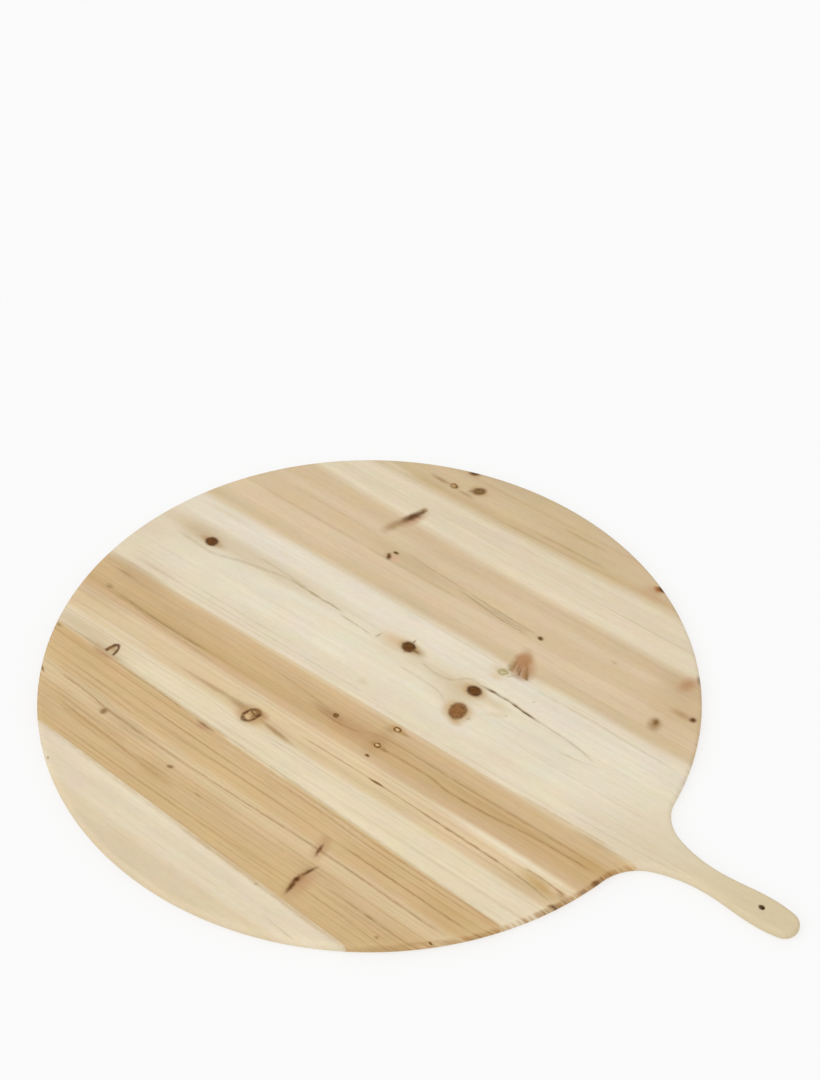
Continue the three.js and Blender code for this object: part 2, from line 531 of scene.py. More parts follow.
    def part_rings(
        self, tree: bpy.types.NodeTree, flat: bpy.types.Node, across: bpy.types.Node, knot: Knot
    ) -> bpy.types.Node:
        """Leads the rings round a knot instead of through it.

        Args:
            tree: Node tree of the material.
            flat: Place on the top face.
            across: Place across the grain so far.
            knot: Knot that the rings part for.

        Returns:
            Place across the grain, drawn in towards the knot's middle beside it.
        """
        length, width = self.PARTED_SIZE
        far = self.distance(tree, flat, knot.at, (length * knot.size[0], width * knot.size[1]))
        pull = add_node(
            tree,
            "MapRange",
            {"Value": far, "From Min": 1.0, "From Max": self.PARTED_CORE, "To Max": -knot.bend},
            interpolation_type="SMOOTHSTEP",
        )
        aside = add_node(tree, "SeparateXYZ", {0: flat}).outputs["Y"]
        beside = add_node(tree, "Math", {0: aside, 1: knot.at[1]}, operation="SUBTRACT")
        return add_node(tree, "Math", {0: beside, 1: pull, 2: across}, operation="MULTIPLY_ADD")

    def draw_rings(self, tree: bpy.types.NodeTree, grain: Grain) -> bpy.types.Node:
        """Draws the latewood: each ring darkens slowly outwards and ends on a sharp line.

        Args:
            tree: Node tree of the material.
            grain: Places in the grain.

        Returns:
            How much latewood there is, from 0 to 1.
        """
        turns = add_node(tree, "Math", {0: grain.across, 1: self.ring_width}, operation="DIVIDE")
        season = add_node(
            tree,
            "TexNoise",
            {"W": turns, "Scale": self.SEASON_PITCH, "Detail": 1.0},
            noise_dimensions="1D",
        )
        count = add_node(
            tree, "Math", {0: season, 1: self.SEASON_SWING, 2: turns}, operation="MULTIPLY_ADD"
        )
        year = add_node(tree, "Math", {0: count}, operation="FRACT")
        ring = add_node(tree, "Math", {0: count}, operation="FLOOR")
        rise = add_node(
            tree,
            "MapRange",
            {"Value": year, "From Min": 1 - self.late_share, "From Max": self.LATE_EDGE},
            interpolation_type="SMOOTHSTEP",
        )
        stop = add_node(
            tree,
            "MapRange",
            {"Value": year, "From Min": 1.0, "From Max": self.LATE_EDGE},
            interpolation_type="SMOOTHSTEP",
        )
        chance = add_node(tree, "TexWhiteNoise", {"W": ring}, noise_dimensions="1D")
        growth = add_node(
            tree,
            "MapRange",
            {"Value": chance.outputs["Value"], "To Min": self.FAINTEST_RING, "To Max": 1.0},
        )
        low, high = self.FADE_NOISE
        fade = add_node(
            tree,
            "MapRange",
            {
                "Value": self.noise(tree, grain.flat, self.FADE_SIZE),
                "From Min": low,
                "From Max": high,
                "To Min": self.FADED,
            },
        )
        line = add_node(tree, "Math", {0: rise, 1: stop}, operation="MULTIPLY")
        strong = add_node(tree, "Math", {0: growth, 1: fade}, operation="MULTIPLY")
        return add_node(tree, "Math", {0: line, 1: strong}, operation="MULTIPLY")

    def shade_wood(self, tree: bpy.types.NodeTree, grain: Grain, late: bpy.types.Node) -> bpy.types.Node:
        """Colours the clear wood: heartwood and sapwood, latewood, mottle and short resin lines.

        Args:
            tree: Node tree of the material.
            grain: Places in the grain.
            late: How much latewood there is.

        Returns:
            Colour of the clear wood.
        """
        tone: Plug = linear(self.start)
        for edge in self.edges:
            across = grain.across
            if edge.skew or edge.curl:
                across = self.straighten(tree, grain.along, across, edge.skew, edge.curl)
            past = add_node(
                tree,
                "MapRange",
                {"Value": across, "From Min": edge.at - edge.blur / 2, "From Max": edge.at + edge.blur / 2},
                interpolation_type="SMOOTHSTEP",
            )
            tone = add_node(
                tree, "Mix", {"Factor": past, "A": tone, "B": linear(edge.tone)}, data_type="RGBA"
            )

        # End grain shows its rings more strongly
        weight = add_node(
            tree,
            "MapRange",
            {
                "Value": grain.end,
                "To Min": self.ring_strength,
                "To Max": self.END_RINGS + self.ring_strength,
            },
        )
        dark = add_node(tree, "Math", {0: late, 1: weight}, operation="MULTIPLY")
        tone = add_node(
            tree, "Mix", {"Factor": dark, "A": tone, "B": linear(self.latewood)}, data_type="RGBA"
        )

        mottle = self.noise(tree, grain.flat, self.MOTTLE_SIZE, detail=3.0)
        low, high = self.MOTTLE_NOISE
        dull, light = self.MOTTLE_LEVEL
        bright = add_node(
            tree,
            "MapRange",
            {"Value": mottle, "From Min": low, "From Max": high, "To Min": dull, "To Max": light},
        )
        tone = add_node(tree, "HueSaturation", {"Color": tone, "Value": bright})
        blotch = self.noise(tree, grain.flat, self.BLOTCH_SIZE)
        low, high = self.BLOTCH_NOISE
        tint = add_node(
            tree,
            "MapRange",
            {
                "Vector": blotch.outputs["Color"],
                "From Min": (low, low, low),
                "From Max": (high, high, high),
                "To Min": tuple(1 - swing for swing in self.BLOTCH_TINT),
                "To Max": tuple(1 + swing for swing in self.BLOTCH_TINT),
            },
            data_type="FLOAT_VECTOR",
        )
        tone = add_node(tree, "VectorMath", {0: tone, 1: tint}, operation="MULTIPLY")
        low, high = self.RESIN_NOISE
        resin = add_node(
            tree,
            "MapRange",
            {
                "Value": self.noise(tree, grain.solid, self.RESIN_SIZE, detail=1.0),
                "From Min": low,
                "From Max": high,
                "To Max": self.RESIN_STRENGTH,
            },
            interpolation_type="SMOOTHSTEP",
        )
        return add_node(
            tree, "Mix", {"Factor": resin, "A": tone, "B": linear(self.latewood)}, data_type="RGBA"
        )

    def draw_streak(
        self, tree: bpy.types.NodeTree, grain: Grain, tone: bpy.types.Node, streak: Streak
    ) -> bpy.types.Node:
        """Lays a soft mark over the wood: staining, and for a few marks painted shade.

        Args:
            tree: Node tree of the material.
            grain: Places in the grain.
            tone: Colour so far.
            streak: The mark.

        Returns:
            Colour with the mark.
        """
        far = self.distance(tree, grain.ragged, streak.at, streak.size, streak.turn)
        share = add_node(
            tree,
            "MapRange",
            {"Value": far, "From Min": 1.0, "From Max": streak.solid, "To Max": streak.strength},
            interpolation_type="SMOOTHSTEP",
        )
        return add_node(
            tree, "Mix", {"Factor": share, "A": tone, "B": linear(streak.tone.value)}, data_type="RGBA"
        )

    def draw_line(
        self, tree: bpy.types.NodeTree, grain: Grain, tone: bpy.types.Node, line: GrainLine
    ) -> bpy.types.Node:
        """Draws a line along the grain.

        Args:
            tree: Node tree of the material.
            grain: Places in the grain.
            tone: Colour so far.
            line: The line.

        Returns:
            Colour with the line.
        """
        axes = add_node(tree, "SeparateXYZ", {0: grain.ragged}).outputs
        start, stop = line.path[0][0], line.path[-1][0]
        low = min(y for _, y in line.path)
        span = max(max(y for _, y in line.path) - low, self.LEAST_RISE)
        run = add_node(tree, "MapRange", {"Value": axes["X"], "From Min": start, "From Max": stop})
        course = add_node(tree, "FloatCurve", {"Value": run})
        course.mapping.extend = "HORIZONTAL"
        points = course.mapping.curves[0].points
        marks = [((x - start) / (stop - start), (y - low) / span) for x, y in line.path]
        points[0].location, points[1].location = marks[0], marks[-1]
        for place, height in marks[1:-1]:
            points.new(place, height)
        course.mapping.update()

        fall = add_node(tree, "Math", {0: course, 1: -span, 2: axes["Y"]}, operation="MULTIPLY_ADD")
        gap = add_node(tree, "Math", {0: fall, 1: low}, operation="SUBTRACT")
        off = add_node(tree, "Math", {0: gap}, operation="ABSOLUTE")
        core = add_node(
            tree,
            "MapRange",
            {"Value": off, "From Min": line.width / 2, "From Max": 0.0, "To Max": line.strength},
            interpolation_type="SMOOTHSTEP",
        )
        head = add_node(
            tree, "MapRange", {"Value": run, "From Max": line.fade}, interpolation_type="SMOOTHSTEP"
        )
        tail = add_node(
            tree,
            "MapRange",
            {"Value": run, "From Min": 1.0, "From Max": 1 - line.fade},
            interpolation_type="SMOOTHSTEP",
        )
        ends = add_node(tree, "Math", {0: head, 1: tail}, operation="MULTIPLY")
        worn = add_node(tree, "Math", {0: ends, 1: grain.patchy}, operation="MULTIPLY")
        share = add_node(tree, "Math", {0: core, 1: worn}, operation="MULTIPLY")
        return add_node(
            tree, "Mix", {"Factor": share, "A": tone, "B": linear(line.tone.value)}, data_type="RGBA"
        )

    def draw_knot(
        self, tree: bpy.types.NodeTree, grain: Grain, tone: bpy.types.Node, knot: Knot
    ) -> bpy.types.Node:
        """Lays a knot over the wood, with its stain, its rim and the rings of the branch.

        Args:
            tree: Node tree of the material.
            grain: Places in the grain.
            tone: Colour so far.
            knot: The knot.

        Returns:
            Colour with the knot.
        """
        tones = knot.kind.value
        breadth = max(knot.size)
        around = self.distance(
            tree, grain.ragged, knot.at, (knot.reach * breadth, self.HALO_WIDTH * breadth)
        )
        stained = add_node(
            tree,
            "MapRange",
            {"Value": around, "From Min": 1.0, "From Max": self.HALO_CORE, "To Max": knot.halo},
            interpolation_type="SMOOTHSTEP",
        )
        tone = add_node(
            tree, "Mix", {"Factor": stained, "A": tone, "B": linear(tones.halo)}, data_type="RGBA"
        )

        far = self.distance(tree, grain.ragged, knot.at, knot.size, knot.turn)
        inside = add_node(
            tree,
            "MapRange",
            {
                "Value": far,
                "From Min": 1 - tones.rim_share / self.RIM_PARTS,
                "From Max": 1 - tones.rim_share,
            },
            interpolation_type="SMOOTHSTEP",
        )
        rings = add_node(tree, "Math", {0: far, 1: self.BRANCH_RINGS}, operation="MULTIPLY")
        swing = add_node(tree, "Math", {0: rings}, operation="SINE")
        low, high = self.SPECKLE_NOISE
        darker, paler = self.SPECKLE_SWING
        spots = add_node(
            tree,
            "MapRange",
            {
                "Value": self.noise(tree, grain.flat, self.SPECKLE_SIZE),
                "From Min": low,
                "From Max": high,
                "To Min": darker,
                "To Max": paler,
            },
        )
        mixed = add_node(tree, "Math", {0: inside, 1: spots}, operation="ADD")
        pale = add_node(tree, "Math", {0: swing, 1: tones.rings, 2: mixed}, operation="MULTIPLY_ADD")
        wood = add_node(
            tree,
            "Mix",
            {"Factor": pale, "A": linear(tones.rim), "B": linear(tones.centre)},
            data_type="RGBA",
        )
        cover = add_node(
            tree,
            "MapRange",
            {
                "Value": far,
                "From Min": 1 + tones.soft / 2,
                "From Max": 1 - tones.soft / 2,
                "To Max": tones.cover,
            },
            interpolation_type="SMOOTHSTEP",
        )
        return add_node(tree, "Mix", {"Factor": cover, "A": tone, "B": wood}, data_type="RGBA")

    def finish_surface(
        self, tree: bpy.types.NodeTree, grain: Grain, tone: bpy.types.Node, late: bpy.types.Node
    ) -> None:
        """Adds fibre, end grain, gloss and relief, and closes the material.

        Args:
            tree: Node tree of the material.
            grain: Places in the grain.
            tone: Colour of wood, streaks and knots.
            late: How much latewood there is.
        """
        strand = self.noise(tree, grain.solid, self.FIBRE_SIZE, detail=4.0)
        fleck = self.noise(tree, grain.solid, self.FLECK_SIZE, detail=3.0)
        fibre = add_node(
            tree, "Mix", {"Factor": self.FLECK_SHARE, "A": strand, "B": fleck}, data_type="FLOAT"
        )
        low, high = self.FIBRE_NOISE
        dull, light = self.FIBRE_LEVEL
        sheen = add_node(
            tree,
            "MapRange",
            {"Value": fibre, "From Min": low, "From Max": high, "To Min": dull, "To Max": light},
        )
        tone = add_node(tree, "HueSaturation", {"Color": tone, "Value": sheen})

        # End grain darkens in a hatch of ring ends, by the stated share on average
        first, last = self.HATCH_NOISE
        hatch = add_node(
            tree,
            "MapRange",
            {
                "Value": self.noise(tree, grain.flat, self.HATCH_SIZE, detail=1.0),
                "From Min": first,
                "From Max": last,
                "To Max": 2 * self.thirst,
            },
        )
        thirst = add_node(tree, "Math", {0: grain.end, 1: hatch}, operation="MULTIPLY")
        tone = add_node(
            tree,
            "Mix",
            {"Factor": thirst, "A": tone, "B": linear(self.END_GRAIN)},
            data_type="RGBA",
            blend_type="MULTIPLY",
        )
        smooth, rough = self.ROUGHNESS
        matt = add_node(
            tree,
            "MapRange",
            {"Value": fibre, "From Min": low, "From Max": high, "To Min": smooth, "To Max": rough},
        )
        relief = add_node(tree, "Math", {0: late, 1: self.LATE_RELIEF, 2: fibre}, operation="MULTIPLY_ADD")
        bump = add_node(
            tree,
            "Bump",
            {"Strength": self.BUMP_STRENGTH, "Distance": self.BUMP_HEIGHT * MM, "Height": relief},
        )
        shader = add_node(
            tree,
            "BsdfPrincipled",
            {
                "Base Color": tone,
                "Roughness": matt,
                "Normal": bump,
                "IOR": self.REFRACTION,
                "Specular IOR Level": self.SURFACE_SHINE,
            },
        )
        add_node(tree, "OutputMaterial", {"Surface": shader})


@dataclass(frozen=True)
class GlueFinish:
    """Cured wood glue, sanded flush: a thin amber film, a little glossier than the wood."""

    name: str = "pva_glue_film_sanded"
    clear: str = "#dcc9a4"
    thick: str = "#cbb184"
    patch: float = 18.0  # length over which the squeezed film thickens and thins
    flow_detail: float = 3.0
    roughness: float = 0.42
    refraction: float = 1.47

    def material(self) -> bpy.types.Material:
        """Makes the material.

        Returns:
            The material, ready for a glue line.
        """
        material, tree = new_material(self.name)
        place = add_node(tree, "TexCoord").outputs["Object"]
        flow = add_node(
            tree,
            "TexNoise",
            {"Vector": place, "Scale": 1 / (self.patch * MM), "Detail": self.flow_detail},
        )
        tone = add_node(
            tree,
            "Mix",
            {"Factor": flow, "A": linear(self.clear), "B": linear(self.thick)},
            data_type="RGBA",
        )
        shader = add_node(
            tree,
            "BsdfPrincipled",
            {"Base Color": tone, "Roughness": self.roughness, "IOR": self.refraction},
        )
        add_node(tree, "OutputMaterial", {"Surface": shader})
        return material


# Tan heartwood with a sapwood edge: a warm brown band that turns cream towards the next stave
OUTER_LEFT_FIR = FirFinish(
    name="fir_heartwood_tan_sanded",
    start="#ddceb2",
    edges=(
        ToneEdge(188, 6, "#e2d3b8"),
        ToneEdge(194.5, 9, "#d9c7a6"),
        ToneEdge(199.5, 9, "#cab189"),
        ToneEdge(207, 9, "#ceb792"),
        ToneEdge(236, 16, "#cdb691"),
    ),
    latewood="#a9834f",
    ring_width=5.5,
    ring_strength=0.2,
    slope=0.008,
    knots=(
        Knot((-60.2, 219.4), (10.6, 8), KnotKind.WORN, turn=48, halo=0.7, bend=0.5),
        Knot((-80.4, 211.8), (6, 5.4), KnotKind.RINGED, halo=0.5, reach=2.4, bend=0.4),
        Knot((-76.4, 234.2), (9, 4.4), KnotKind.SPECK, turn=18, halo=0.4),
    ),
    stains_and_shade=(
        Streak((-135.6, 201.3), (70, 10), StainAndShadeTone.CREAM, 0.35),
        Streak((115.5, 212.7), (24, 14), StainAndShadeTone.RUST, 0.4),
        Streak((118.5, 206.3), (50, 16), StainAndShadeTone.RUST, 0.25),
        Streak((30.1, 208.8), (100, 6), StainAndShadeTone.OCHRE, 0.3),
        Streak((40.2, 225.4), (56, 8), StainAndShadeTone.OCHRE, 0.3),
        Streak((-93.4, 211.4), (34, 7), StainAndShadeTone.BROWN, 0.5),
        Streak((-66.3, 209.9), (26, 6), StainAndShadeTone.BROWN, 0.35),
        Streak((-61.5, 217.5), (20, 13), StainAndShadeTone.BROWN, 0.4, turn=40),
    ),
    streaks=(
        Streak((117.3, 215.1), (12, 8), StainAndShadeTone.CINNAMON, 0.95, turn=-25, solid=0.1),
        Streak((119.4, 216.8), (11, 5.6), StainAndShadeTone.BARK, 0.95, turn=-33, solid=0.3),
        Streak((-80, 211.3), (9, 7), StainAndShadeTone.BROWN, 0.4),
        Streak((-65.4, 215.6), (10, 5.4), StainAndShadeTone.RESIN, 0.5, turn=39),
        Streak((-78.2, 211.9), (5, 3.4), StainAndShadeTone.BARK, 0.8, turn=60),
    ),
    lines=(
        GrainLine(((-105.5, 211.1), (-92.4, 211), (-82.4, 211.5)), 3.4, StainAndShadeTone.BROWN, 0.4, fade=0.5),
        GrainLine(((-78.3, 210.7), (-70.3, 209.5), (-58.3, 208.9)), 3.2, StainAndShadeTone.BROWN, 0.3, fade=0.5),
        GrainLine(((0, 208.7), (40.2, 209.1), (78.3, 208.7)), 3, StainAndShadeTone.BROWN, 0.3),
        GrainLine(((18.1, 227), (40.2, 226), (64.3, 225.4)), 2.8, StainAndShadeTone.BROWN, 0.3),
        GrainLine(((-40.2, 201.3), (30.1, 202.3), (110.5, 203.3)), 2.8, StainAndShadeTone.BROWN, 0.2),
    ),
    seed=1.3,
)

# Tan heartwood between pale edges, with a long streak knot, a fan knot and resin needles
INNER_LEFT_FIR = FirFinish(
    name="fir_heartwood_tan_pale_edges_sanded",
    start="#e4d8bf",
    edges=(
        ToneEdge(77.5, 11, "#d3bc98", skew=0.0136, curl=-3.2e-5),
        ToneEdge(89, 8, "#d9c2a1", skew=0.008),
        ToneEdge(109.5, 6, "#d4bc98", skew=0.004),
        ToneEdge(126, 7, "#d8c1a0"),
        ToneEdge(137, 8, "#d2ba97"),
        ToneEdge(152.4, 7, "#dccaab", skew=-0.016, curl=4.8e-5),
        ToneEdge(156.5, 4, "#e3d4b8", skew=-0.016, curl=4.8e-5),
        ToneEdge(163, 6, "#e0d1b5", skew=-0.01),
    ),
    latewood="#ad8a5b",
    ring_width=6,
    ring_strength=0.14,
    slope=-0.0136,
    bow=3.2e-5,
    knots=(
        Knot((-68.6, 119.6), (4.4, 3), KnotKind.SPECK, turn=12, halo=0.4),
        Knot((-70.6, 112.9), (7, 3.5), KnotKind.SPECK, turn=-58, halo=0.4),
        Knot((76.7, 114.3), (4.4, 3.6), KnotKind.SPECK, turn=-20, halo=0.5),
        Knot((80.2, 87.6), (15, 12), KnotKind.RED, turn=100, halo=0.6, reach=1.5, bend=0.3),
    ),
    stains_and_shade=(
        Streak((-80.6, 160.4), (36, 15), StainAndShadeTone.RUST, 0.75, turn=77),
        Streak((-87.6, 150), (30, 14), StainAndShadeTone.BROWN, 0.55, turn=75),
        Streak((-90.9, 140.5), (26, 15), StainAndShadeTone.BROWN, 0.5, turn=78),
        Streak((-64.6, 114.1), (16, 13), StainAndShadeTone.PINK, 0.95),
        Streak((85.5, 79.2), (39, 26), StainAndShadeTone.RUST, 0.8, turn=118, solid=0.25),
        Streak((77.3, 96.8), (18, 10), StainAndShadeTone.UMBER, 0.35),
        Streak((76.3, 76.7), (22, 9), StainAndShadeTone.OLIVE, 0.6, turn=98),
        Streak((205.9, 117.9), (100, 120), StainAndShadeTone.OCHRE, 0.22),
        Streak((192.8, 136), (70, 36), StainAndShadeTone.UMBER, 0.35),
        Streak((191.8, 144), (27, 18), StainAndShadeTone.RUST, 0.8, turn=75),
        Streak((204.9, 115.5), (28, 10), StainAndShadeTone.BROWN, 0.5),
        Streak((194.4, 95), (20, 16), StainAndShadeTone.BROWN, 0.75, turn=112, solid=0.1),
        Streak((-48.2, 118.4), (120, 20), StainAndShadeTone.OLIVE, 0.22),
        Streak((30.1, 114.4), (110, 12), StainAndShadeTone.OLIVE, 0.2, turn=-4),
        Streak((-214, 80), (70, 9), StainAndShadeTone.CREAM, 0.3),
    ),
    streaks=(
        Streak((-84.2, 161.6), (32, 11.4), StainAndShadeTone.BARK, 0.95, turn=73, solid=0.15),
        Streak((-82, 173.4), (11, 8.6), StainAndShadeTone.BROWN, 0.75, turn=60),
        Streak((-81.4, 170.4), (12, 5.4), StainAndShadeTone.BARK, 0.75, turn=70),
        Streak((78.9, 74.3), (22, 8), StainAndShadeTone.BROWN, 0.65, turn=103),
        Streak((82.2, 77.7), (14, 2.6), StainAndShadeTone.RESIN, 0.6, turn=107),
        Streak((77.6, 80.5), (16, 2.6), StainAndShadeTone.RESIN, 0.4, turn=104),
        Streak((87.8, 81), (15, 2.4), StainAndShadeTone.RESIN, 0.45, turn=116),
        Streak((84, 85), (12, 2.2), StainAndShadeTone.BROWN, 0.5, turn=112),
        Streak((85.4, 74.7), (20, 3.4), StainAndShadeTone.RESIN, 0.75, turn=108),
        Streak((90.8, 75.2), (26, 8.5), StainAndShadeTone.BROWN, 0.75, turn=117),
        Streak((92.9, 74.2), (12, 3), StainAndShadeTone.RESIN, 0.6, turn=117),
        Streak((135.6, 128.4), (9, 3), StainAndShadeTone.OLIVE, 0.6, turn=-8),
        Streak((195, 153.6), (16, 4), StainAndShadeTone.BARK, 0.55, turn=-58),
        Streak((214.1, 116.4), (8.6, 7.8), StainAndShadeTone.BARK, 0.97, solid=0.2),
        Streak((193.9, 97.4), (10, 7), StainAndShadeTone.RESIN, 0.85, turn=112),
    ),
    lines=(
        GrainLine(((-66.3, 125.6), (-41.2, 122.9), (-17.1, 121.3), (8, 119.7)), 2.8, StainAndShadeTone.RESIN, 0.25),
        GrainLine(
            ((0, 120.2), (20.1, 118.8), (47.2, 116.8), (64.3, 115.9), (76.3, 114.5)),
            2.8,
            StainAndShadeTone.RESIN,
            0.36,
        ),
        GrainLine(
            ((-8, 117.9), (16.1, 115.1), (38.2, 112.1), (52.2, 111.4), (72.3, 110.3)),
            2.6,
            StainAndShadeTone.RESIN,
            0.42,
        ),
        GrainLine(((20.1, 117.4), (45.2, 114.4), (68.3, 113.4)), 2.2, StainAndShadeTone.RESIN, 0.3),
        GrainLine(((-205.9, 112.1), (-150.7, 111.7), (-90.4, 110.5)), 6, StainAndShadeTone.UMBER, 0.25),
        GrainLine(((-96.4, 110.5), (-40.2, 109.9), (10, 110.3)), 5, StainAndShadeTone.OLIVE, 0.3),
        GrainLine(
            ((-188.8, 130.2), (-178.8, 129.8), (-128.6, 128.2), (-85.4, 126.8)),
            6,
            StainAndShadeTone.UMBER,
            0.2,
        ),
    ),
    seed=2.9,
)

